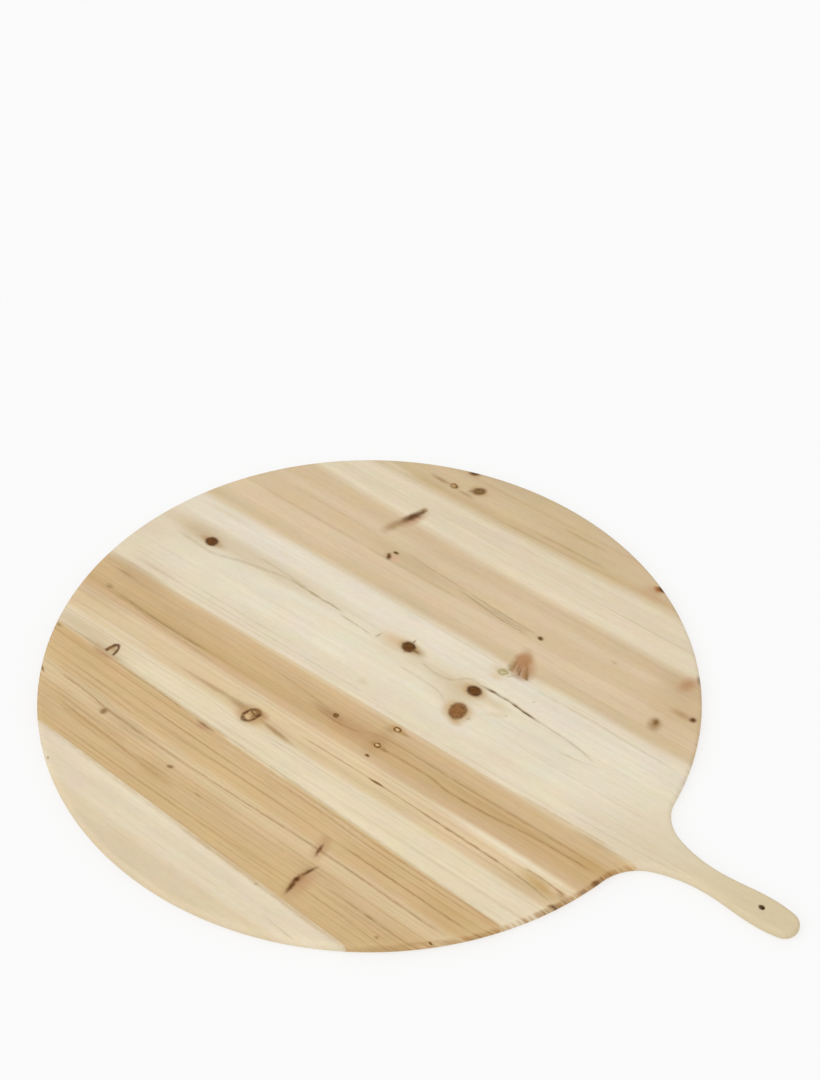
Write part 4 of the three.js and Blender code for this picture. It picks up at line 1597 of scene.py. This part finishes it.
@dataclass(frozen=True)
class Outline:
    """Plan of the board: disc, hollow neck, waist and swelling grip, whose curves run into each other."""

    disc_radius: float = DISC_RADIUS
    handle_length: float = HANDLE_LENGTH
    neck_fillet: float = 38.0  # tight hollow against the disc
    neck_sweep: float = 100.0  # long hollow that runs on into the waist
    waist_from_rim: float = 56.0
    waist_width: float = 19.6
    grip_width: float = 25.3
    grip_swell: float = 85.0  # radius of the long curve over the widest part of the grip
    end_draw_in: float = 1.6  # the end round's radius is this much under half the grip's width
    flare_ease: float = 0.4  # how far the flare holds level at each end, as a share of its run
    sag: float = 0.008  # greatest gap between a curve and its chords
    flare_steps: int = 24

    def points(self) -> list[RimPoint]:
        """Runs round the whole outline, from the handle's tip by its left side.

        Returns:
            Points of the outline with the directions that face out.
        """
        left = self.left_half()
        right = [
            RimPoint(Vector((p.place.x, -p.place.y)), Vector((p.out.x, -p.out.y)))
            for p in reversed(left[1:-1])
        ]
        return left + right

    def left_half(self) -> list[RimPoint]:
        """Runs from the handle's tip along its left side to the far side of the disc.

        Returns:
            Points of that half.
        """
        end_radius = self.grip_width / 2 - self.end_draw_in
        end = Vector((self.disc_radius + self.handle_length - end_radius, 0.0))

        # The swell meets the end round inside it, tangent to it
        drop = self.grip_swell - self.grip_width / 2
        reach = math.sqrt((self.grip_swell - end_radius) ** 2 - drop**2)
        swell = Vector((end.x - reach, -drop))
        swell_end = math.atan2(drop, reach)

        # The fillet touches the disc outside and the sweep inside, and the hollows meet at the turn
        waist = Vector((self.disc_radius + self.waist_from_rim, self.waist_width / 2))
        sweep = waist + Vector((0.0, self.neck_sweep))
        step = self.neck_sweep - self.neck_fillet
        near = self.disc_radius + self.neck_fillet
        corner = (sweep.length**2 + step**2 - near**2) / (2 * step * sweep.length)
        turn = math.atan2(sweep.x, sweep.y) - math.acos(corner)
        fillet = sweep - step * Vector((math.sin(turn), math.cos(turn)))
        root = math.atan2(fillet.y, fillet.x)

        down = -math.pi / 2
        grip = Vector((swell.x, self.grip_width / 2))
        stretches = [
            self.arc(end, end_radius, 0.0, swell_end),
            self.arc(swell, self.grip_swell, swell_end, math.pi / 2),
            self.flare(grip, waist),
            self.arc(sweep, self.neck_sweep, down, down - turn, hollow=True),
            self.arc(fillet, self.neck_fillet, down - turn, root - math.pi, hollow=True),
            self.arc(Vector((0.0, 0.0)), self.disc_radius, root, math.pi),
        ]
        return stretches[0] + [point for stretch in stretches[1:] for point in stretch[1:]]

    def arc(
        self, centre: Vector, radius: float, first: float, last: float, hollow: bool = False
    ) -> list[RimPoint]:
        """Runs along an arc.

        Args:
            centre: Centre of the arc.
            radius: Radius of the arc.
            first: Angle that it starts at.
            last: Angle that it ends at, on either side.
            hollow: Whether the wood lies outside the arc.

        Returns:
            Points of the arc, both ends included.
        """
        step = 2 * math.acos(1 - self.sag / radius)
        count = max(3, math.ceil(abs(last - first) / step))
        points = []
        for i in range(count + 1):
            angle = first + (last - first) * i / count
            ray = Vector((math.cos(angle), math.sin(angle)))
            points.append(RimPoint(centre + radius * ray, -ray if hollow else ray))
        return points

    def flare(self, grip: Vector, waist: Vector) -> list[RimPoint]:
        """Runs from the grip in to the waist, level at both ends.

        Args:
            grip: Widest point of the grip.
            waist: Narrowest point of the waist.

        Returns:
            Points of the flare, both ends included.
        """
        hold = Vector((self.flare_ease * (grip.x - waist.x), 0.0))
        pulls = (grip, grip - hold, waist + hold, waist)
        points = []
        for i in range(self.flare_steps + 1):
            t = i / self.flare_steps
            s = 1 - t
            shares = (s**3, 3 * s**2 * t, 3 * s * t**2, t**3)
            place = sum((w * k for w, k in zip(shares, pulls)), Vector((0.0, 0.0)))
            rates = (s**2, 2 * s * t, t**2)
            course = sum((w * (b - a) for w, a, b in zip(rates, pulls, pulls[1:])), Vector((0.0, 0.0)))
            points.append(RimPoint(place, Vector((course.y, -course.x)).normalized()))
        return points


@dataclass(frozen=True)
class Blank:
    """The glued-up board before it is parted into staves, with both faces rounded over into the rim."""

    outline: Outline = field(default_factory=Outline)
    thickness: float = THICKNESS
    edge_round: float = 4.0
    round_steps: int = 10
    holding_band: float = 0.5  # flat band inside the round-over, which keeps the faces' shading flat

    def profile(self, shrink: float) -> list[Point]:
        """Runs round the rim in section, from the underside to the top face.

        Args:
            shrink: How far the section lies inside the sanded surface.

        Returns:
            Distances in from the outline, with heights.
        """
        low, high = shrink, self.thickness - shrink
        radius = self.edge_round - shrink
        band = self.edge_round + self.holding_band
        turns = [math.pi / 2 * i / self.round_steps for i in range(self.round_steps + 1)]
        under = [(self.edge_round - radius * math.sin(a), low + radius * (1 - math.cos(a))) for a in turns]
        over = [(inset, high + low - height) for inset, height in reversed(under)]
        return [(band, low), *under, *over, (band, high)]

    def mesh(self, shrink: float = 0.0) -> bmesh.types.BMesh:
        """Builds the whole board as one closed mesh.

        Args:
            shrink: How far it lies inside the sanded surface.

        Returns:
            The mesh, in metres.
        """
        made = bmesh.new()
        points = self.outline.points()
        loops = []
        for inset, height in self.profile(shrink):
            places = [point.place - inset * point.out for point in points]
            loops.append([made.verts.new(Vector((p.x, p.y, height)) * MM) for p in places])
        for low, high in zip(loops, loops[1:]):
            for i in range(len(points)):
                made.faces.new((low[i - 1], low[i], high[i], high[i - 1]))
        made.faces.new(reversed(loops[0]))
        made.faces.new(loops[-1])
        return made


@dataclass(frozen=True)
class Joint:
    """A glued joint, a straight line across the board that is turned a little from the handle's axis."""

    name: str
    offset: float  # where it crosses the disc's middle
    tilt: float  # degrees
    snap: float = 0.002  # a corner this near the cut is taken to lie on it, so that no sliver is left

    def keep(self, mesh: bmesh.types.BMesh, shift: float, left: bool) -> None:
        """Saws a mesh along the joint and closes the cut.

        Args:
            mesh: Mesh that is cut.
            shift: How far the cut lies to the left of the joint's middle.
            left: Whether the wood to the left of the cut stays.
        """
        angle = math.radians(self.tilt)
        across = Vector((-math.sin(angle), math.cos(angle), 0.0))
        middle = Vector((0.0, self.offset, 0.0)) + shift * across
        bmesh.ops.bisect_plane(
            mesh,
            geom=[*mesh.verts, *mesh.edges, *mesh.faces],
            dist=self.snap * MM,
            plane_co=middle * MM,
            plane_no=across,
            clear_inner=left,
            clear_outer=not left,
        )
        rim = [edge for edge in mesh.edges if edge.is_boundary]
        bmesh.ops.holes_fill(mesh, edges=rim)


@dataclass(frozen=True)
class Groove:
    """A narrow V-shaped opening in the top face, such as a drying crack or the check round a dead knot."""

    path: tuple[Point, ...]
    width: float
    depth: float
    closed: bool = False
    pinch: float = 0.55  # how much the opening narrows and widens on its way
    pinches: int = 2  # how often it does so
    end_share: float = 0.12  # how much of its width and depth is left at an end

    def carve(self, cutter: bmesh.types.BMesh) -> None:
        """Adds the solid that cuts the groove.

        Args:
            cutter: Mesh of all the cutting solids.
        """
        rows = [self.section(cutter, i) for i in range(len(self.path))]
        pairs = list(zip(rows, rows[1:]))
        if self.closed:
            pairs.append((rows[-1], rows[0]))
        else:
            cutter.faces.new(rows[0])
            cutter.faces.new(reversed(rows[-1]))
        for back, front in pairs:
            for i in range(3):
                cutter.faces.new((back[i - 1], back[i], front[i], front[i - 1]))

    def section(self, cutter: bmesh.types.BMesh, i: int) -> list[bmesh.types.BMVert]:
        """Adds one V-shaped section of the cutting solid.

        Args:
            cutter: Mesh of all the cutting solids.
            i: Number of the path's point.

        Returns:
            Left, bottom and right corner of the section.
        """
        count = len(self.path)
        point = Vector(self.path[i])
        before = Vector(self.path[i - 1]) if self.closed or i else point
        after = Vector(self.path[(i + 1) % count]) if self.closed or i + 1 < count else point
        side = (after - before).orthogonal().normalized()
        run = i / count if self.closed else i / (count - 1)
        wave = math.sin(math.tau * self.pinches * run + self.path[0][0])
        swell = 1 - self.pinch * (0.5 + 0.5 * wave)
        taper = 1.0 if self.closed else max(self.end_share, math.sin(math.pi * run) ** 0.5)
        half = self.width / 2 * swell * taper
        depth = self.depth * taper
        flare = half * (depth + CUT_MARGIN) / depth
        tips = (
            (*(point + flare * side), THICKNESS + CUT_MARGIN),
            (*point, THICKNESS - depth),
            (*(point - flare * side), THICKNESS + CUT_MARGIN),
        )
        return [cutter.verts.new(Vector(tip) * MM) for tip in tips]


@dataclass(frozen=True)
class HangingHole:
    """The drilled hole in the grip, with sanded corners at both mouths."""

    diameter: float = 4.0
    from_tip: float = 28.8
    ease: float = 0.3
    ease_steps: int = 5
    sides: int = 48

    def carve(self, cutter: bmesh.types.BMesh) -> None:
        """Adds the solid that the drill and the sanding take out.

        Args:
            cutter: Mesh of all the cutting solids.
        """
        bore = self.diameter / 2
        mouth = bore + self.ease
        turns = [math.pi / 2 * i / self.ease_steps for i in range(self.ease_steps + 1)]
        lower = [(mouth, -CUT_MARGIN)]
        lower += [(mouth - self.ease * math.sin(a), self.ease * (1 - math.cos(a))) for a in turns]
        profile = lower + [(radius, THICKNESS - height) for radius, height in reversed(lower)]
        middle = DISC_RADIUS + HANDLE_LENGTH - self.from_tip
        loops = []
        for radius, height in profile:
            angles = [math.tau * i / self.sides for i in range(self.sides)]
            places = [(middle + radius * math.cos(a), radius * math.sin(a), height) for a in angles]
            loops.append([cutter.verts.new(Vector(place) * MM) for place in places])
        for low, high in zip(loops, loops[1:]):
            for i in range(self.sides):
                cutter.faces.new((low[i - 1], low[i], high[i], high[i - 1]))
        cutter.faces.new(reversed(loops[0]))
        cutter.faces.new(loops[-1])


def open_crack(crack: Crack, steps: int = 5) -> Groove:
    """Opens a drying crack along its path.

    Args:
        crack: The crack.
        steps: Number of short runs between two points of the path.

    Returns:
        The groove of the crack, smoothed through its points.
    """
    points = [Vector(point) for point in crack.path]
    ends = [2 * points[0] - points[1], *points, 2 * points[-1] - points[-2]]
    path = []
    for before, first, last, after in zip(ends, ends[1:], ends[2:], ends[3:]):
        for i in range(steps):
            t = i / steps
            rise = (last - before) / 2
            fall = (after - first) / 2
            bend = 3 * (last - first) - 2 * rise - fall
            twist = rise + fall - 2 * (last - first)
            place = first + t * (rise + t * (bend + t * twist))
            path.append((place.x, place.y))
    path.append(crack.path[-1])
    return Groove(tuple(path), crack.width, crack.depth)


def check_round(
    knot: Knot, depth: float = 0.5, inset: float = 0.95, wander: Point = (0.025, 0.02), count: int = 44
) -> Groove:
    """Opens the check between a dead knot and the wood.

    Args:
        knot: Knot with its gap.
        depth: Depth of the check.
        inset: Where it runs, as a share of the knot's radius.
        wander: How far it strays from there, in three long waves and five short ones.
        count: Number of points round the knot.

    Returns:
        The groove that follows the knot's rim.
    """
    turn = math.radians(knot.turn)
    path = []
    for i in range(count):
        angle = math.tau * i / count
        long_wave = wander[0] * math.sin(3 * angle + knot.at[0])
        short_wave = wander[1] * math.sin(5 * angle + knot.at[1])
        radius = inset + long_wave + short_wave
        x = radius * knot.size[0] / 2 * math.cos(angle)
        y = radius * knot.size[1] / 2 * math.sin(angle)
        path.append(
            (
                knot.at[0] + x * math.cos(turn) - y * math.sin(turn),
                knot.at[1] + x * math.sin(turn) + y * math.cos(turn),
            )
        )
    return Groove(tuple(path), knot.gap, depth, closed=True)


@dataclass
class Stave:
    """One stave of the panel, from joint to joint, with its hole, cracks and checks cut in."""

    node: str
    finish: FirFinish
    left: Joint | None
    right: Joint | None
    cuts: tuple[Groove | HangingHole, ...] = ()
    bond: float = 0.11  # from the joint's middle to the wood
    sharp_angle: float = 35.0
    piece: bpy.types.Object | None = None

    def build(self, blank: Blank) -> None:
        """Saws the stave out of the blank and cuts its openings.

        Args:
            blank: The whole board.
        """
        wood = blank.mesh()
        if self.left:
            self.left.keep(wood, -self.bond, left=False)
        if self.right:
            self.right.keep(wood, self.bond, left=True)
        bmesh.ops.recalc_face_normals(wood, faces=wood.faces)
        mesh = bpy.data.meshes.new(self.node)
        wood.to_mesh(mesh)
        wood.free()
        self.piece = new_object(self.node + "_wood", mesh)
        self.cut_openings()
        self.piece.data.shade_smooth()
        self.piece.data.set_sharp_from_angle(angle=math.radians(self.sharp_angle))

    def cut_openings(self) -> None:
        """Takes the hole, the cracks and the checks round the knots out of the wood."""
        openings = [*self.cuts, *(check_round(knot) for knot in self.finish.knots if knot.gap)]
        if not openings:
            return
        cutter = bmesh.new()
        for opening in openings:
            opening.carve(cutter)
        bmesh.ops.recalc_face_normals(cutter, faces=cutter.faces)
        mesh = bpy.data.meshes.new(self.node + "_cutter")
        cutter.to_mesh(mesh)
        cutter.free()
        tool = new_object(mesh.name, mesh)
        cut = self.piece.modifiers.new("openings", "BOOLEAN")
        cut.operation = "DIFFERENCE"
        cut.solver = "EXACT"
        cut.object = tool
        view = bpy.context.evaluated_depsgraph_get()
        parted = bpy.data.meshes.new_from_object(self.piece.evaluated_get(view))
        self.piece.modifiers.clear()
        whole = self.piece.data
        self.piece.data = parted
        bpy.data.meshes.remove(whole)
        bpy.data.objects.remove(tool)
        bpy.data.meshes.remove(mesh)

    def dress(self) -> None:
        """Gives the stave its finish and its place in the frame."""
        self.piece.data.materials.clear()
        self.piece.data.materials.append(self.finish.material())
        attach(self.piece, BODY)
        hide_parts(self.node)


@dataclass
class GlueLine:
    """The cured glue in one joint, a film that lies just under the sanded face."""

    node: str
    joint: Joint
    film: float = 0.2
    sunk: float = 0.03
    piece: bpy.types.Object | None = None

    def build(self, blank: Blank) -> None:
        """Cuts the film out of a board a little thinner than the wood.

        Args:
            blank: The whole board.
        """
        glue = blank.mesh(self.sunk)
        self.joint.keep(glue, self.film / 2, left=False)
        self.joint.keep(glue, -self.film / 2, left=True)
        bmesh.ops.recalc_face_normals(glue, faces=glue.faces)
        mesh = bpy.data.meshes.new(self.node)
        glue.to_mesh(mesh)
        glue.free()
        self.piece = new_object(self.node + "_film", mesh)

    def dress(self, material: bpy.types.Material) -> None:
        """Gives the film its finish and its place in the frame.

        Args:
            material: Material of the glue.
        """
        self.piece.data.materials.append(material)
        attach(self.piece, BODY)
        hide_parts(self.node)


@dataclass
class Panel:
    """The six staves and five glue lines of the board, from the left edge to the right."""

    blank: Blank = field(default_factory=Blank)
    joints: tuple[Joint, ...] = (
        Joint("outer_left", 175.0, -1.1),
        Joint("inner_left", 74.4, -1.8),
        Joint("inner_right", -22.9, -0.1),
        Joint("middle_right", -114.5, -3.0),
        Joint("outer_right", -196.2, -3.5),
    )
    finishes: tuple[tuple[str, FirFinish], ...] = (
        ("outer_left", OUTER_LEFT_FIR),
        ("inner_left", INNER_LEFT_FIR),
        ("handle", HANDLE_FIR),
        ("inner_right", INNER_RIGHT_FIR),
        ("middle_right", MIDDLE_RIGHT_FIR),
        ("outer_right", OUTER_RIGHT_FIR),
    )

    def staves(self) -> list[Stave]:
        """Lists the staves.

        Returns:
            The staves, from the left edge to the right.
        """
        cuts = {"handle": (HangingHole(), open_crack(DRYING_CRACK))}
        beside = (None, *self.joints, None)
        return [
            Stave("stave_" + name, finish, left, right, cuts.get(name, ()))
            for (name, finish), left, right in zip(self.finishes, beside, beside[1:])
        ]

    def glue_lines(self) -> list[GlueLine]:
        """Lists the glue lines, from the left edge to the right."""
        return [GlueLine("glue_line_" + joint.name, joint) for joint in self.joints]

    def build(self) -> None:
        """Builds and dresses every piece."""
        for stave in self.staves():
            stave.build(self.blank)
            stave.dress()
            faces = len(stave.piece.data.polygons)
            LOG.info("%s: %d faces, %s", stave.piece.name, faces, stave.finish.name)
        glue = GlueFinish().material()
        for line in self.glue_lines():
            line.build(self.blank)
            line.dress(glue)
            faces = len(line.piece.data.polygons)
            LOG.info("%s: %d faces, %s", line.piece.name, faces, glue.name)


@dataclass
class Studio:
    """White floor, even light from all round with a soft key from above, and the camera, in metres."""

    azimuth: float = 38.67  # degrees
    elevation: float = 43.48  # degrees
    distance: float = 1.8
    rise: float = 0.1073  # the camera aims this far above the board's middle
    lens: float = 79.34  # focal length in millimetres
    shift: float = 0.0375  # share of the frame's longer side
    sensor: float = 36.0  # millimetres
    floor_size: float = 12.0
    floor_tone: str = "#fafafa"
    floor_roughness: float = 0.4
    floor_glow: float = 0.7  # share of the sheet's white that comes through it from below
    background: float = 0.965  # brightness of the room where it is seen
    fill: float = 0.8  # strength of its light on the board
    key: float = 0.82  # strength of the key light
    key_spread: float = 70.0  # degrees
    key_lean: Span = (38.0, -6.0)  # degrees of tip from straight above, then of turn about the vertical

    def build(self) -> None:
        """Sets up the floor, the light, the camera and the plain view."""
        self.lay_floor()
        self.light()
        self.aim_camera()
        bpy.context.scene.view_settings.view_transform = "Standard"
        LOG.info("studio: floor, world, key light and camera")

    def lay_floor(self) -> None:
        """Lays a matt white sheet, lit a little from below so that the board's shadow stays faint."""
        half = self.floor_size / 2
        outline = ((-half, -half, 0), (half, -half, 0), (half, half, 0), (-half, half, 0))
        mesh = bpy.data.meshes.new("floor")
        mesh.from_pydata(outline, [], [(0, 1, 2, 3)])
        floor = new_object("floor", mesh)
        material, tree = new_material("acrylic_sheet_matt_white")
        sheet = add_node(
            tree, "BsdfDiffuse", {"Color": linear(self.floor_tone), "Roughness": self.floor_roughness}
        )
        glow = add_node(tree, "Emission", {"Color": linear(self.floor_tone)})
        lit = add_node(tree, "MixShader", {"Fac": self.floor_glow, 1: sheet, 2: glow})
        add_node(tree, "OutputMaterial", {"Surface": lit})
        mesh.materials.append(material)

    def light(self) -> None:
        """Lights the board at a plain level, from a white world and a broad key."""
        world = bpy.data.worlds.new("white_room")
        bpy.context.scene.world = world
        world.use_nodes = True
        tree = world.node_tree
        tree.nodes.clear()
        path = add_node(tree, "LightPath").outputs
        seen = add_node(
            tree, "Math", {0: path["Is Camera Ray"], 1: path["Is Glossy Ray"]}, operation="MAXIMUM"
        )
        shown = add_node(tree, "Math", {0: seen, 1: path["Is Transmission Ray"]}, operation="MAXIMUM")
        level = add_node(
            tree, "MapRange", {"Value": shown, "To Min": self.fill, "To Max": self.background}
        )
        sky = add_node(tree, "Background", {"Color": (1.0, 1.0, 1.0, 1.0), "Strength": level})
        add_node(tree, "OutputWorld", {"Surface": sky})

        lamp = bpy.data.lights.new("key", "SUN")
        lamp.energy = self.key
        lamp.angle = math.radians(self.key_spread)
        key = bpy.data.objects.new("key", lamp)
        tip, turn = (math.radians(angle) for angle in self.key_lean)
        key.rotation_euler = (tip, 0.0, turn)
        bpy.context.scene.collection.objects.link(key)

    def aim_camera(self) -> None:
        """Places the camera at the photograph's angle."""
        azimuth, elevation = math.radians(self.azimuth), math.radians(self.elevation)
        level = Vector((math.sin(azimuth), -math.cos(azimuth), 0.0))
        back = level * math.cos(elevation) + Vector((0.0, 0.0, math.sin(elevation)))
        up = -level * math.sin(elevation) + Vector((0.0, 0.0, math.cos(elevation)))
        lens = bpy.data.cameras.new("camera")
        lens.lens = self.lens
        lens.sensor_width = self.sensor
        lens.shift_x = self.shift
        camera = bpy.data.objects.new("camera", lens)
        middle = Vector((0.0, 0.0, THICKNESS / 2 * MM))
        camera.location = middle + self.rise * up + self.distance * back
        camera.rotation_euler = (-back).to_track_quat("-Z", "Y").to_euler()
        bpy.context.scene.collection.objects.link(camera)
        bpy.context.scene.camera = camera


def main() -> None:
    """Builds the studio and the board, and logs the faces of every piece."""
    logging.basicConfig(level=logging.INFO, format="%(message)s")
    Studio().build()
    Panel().build()


if __name__ == "__main__":
    main()
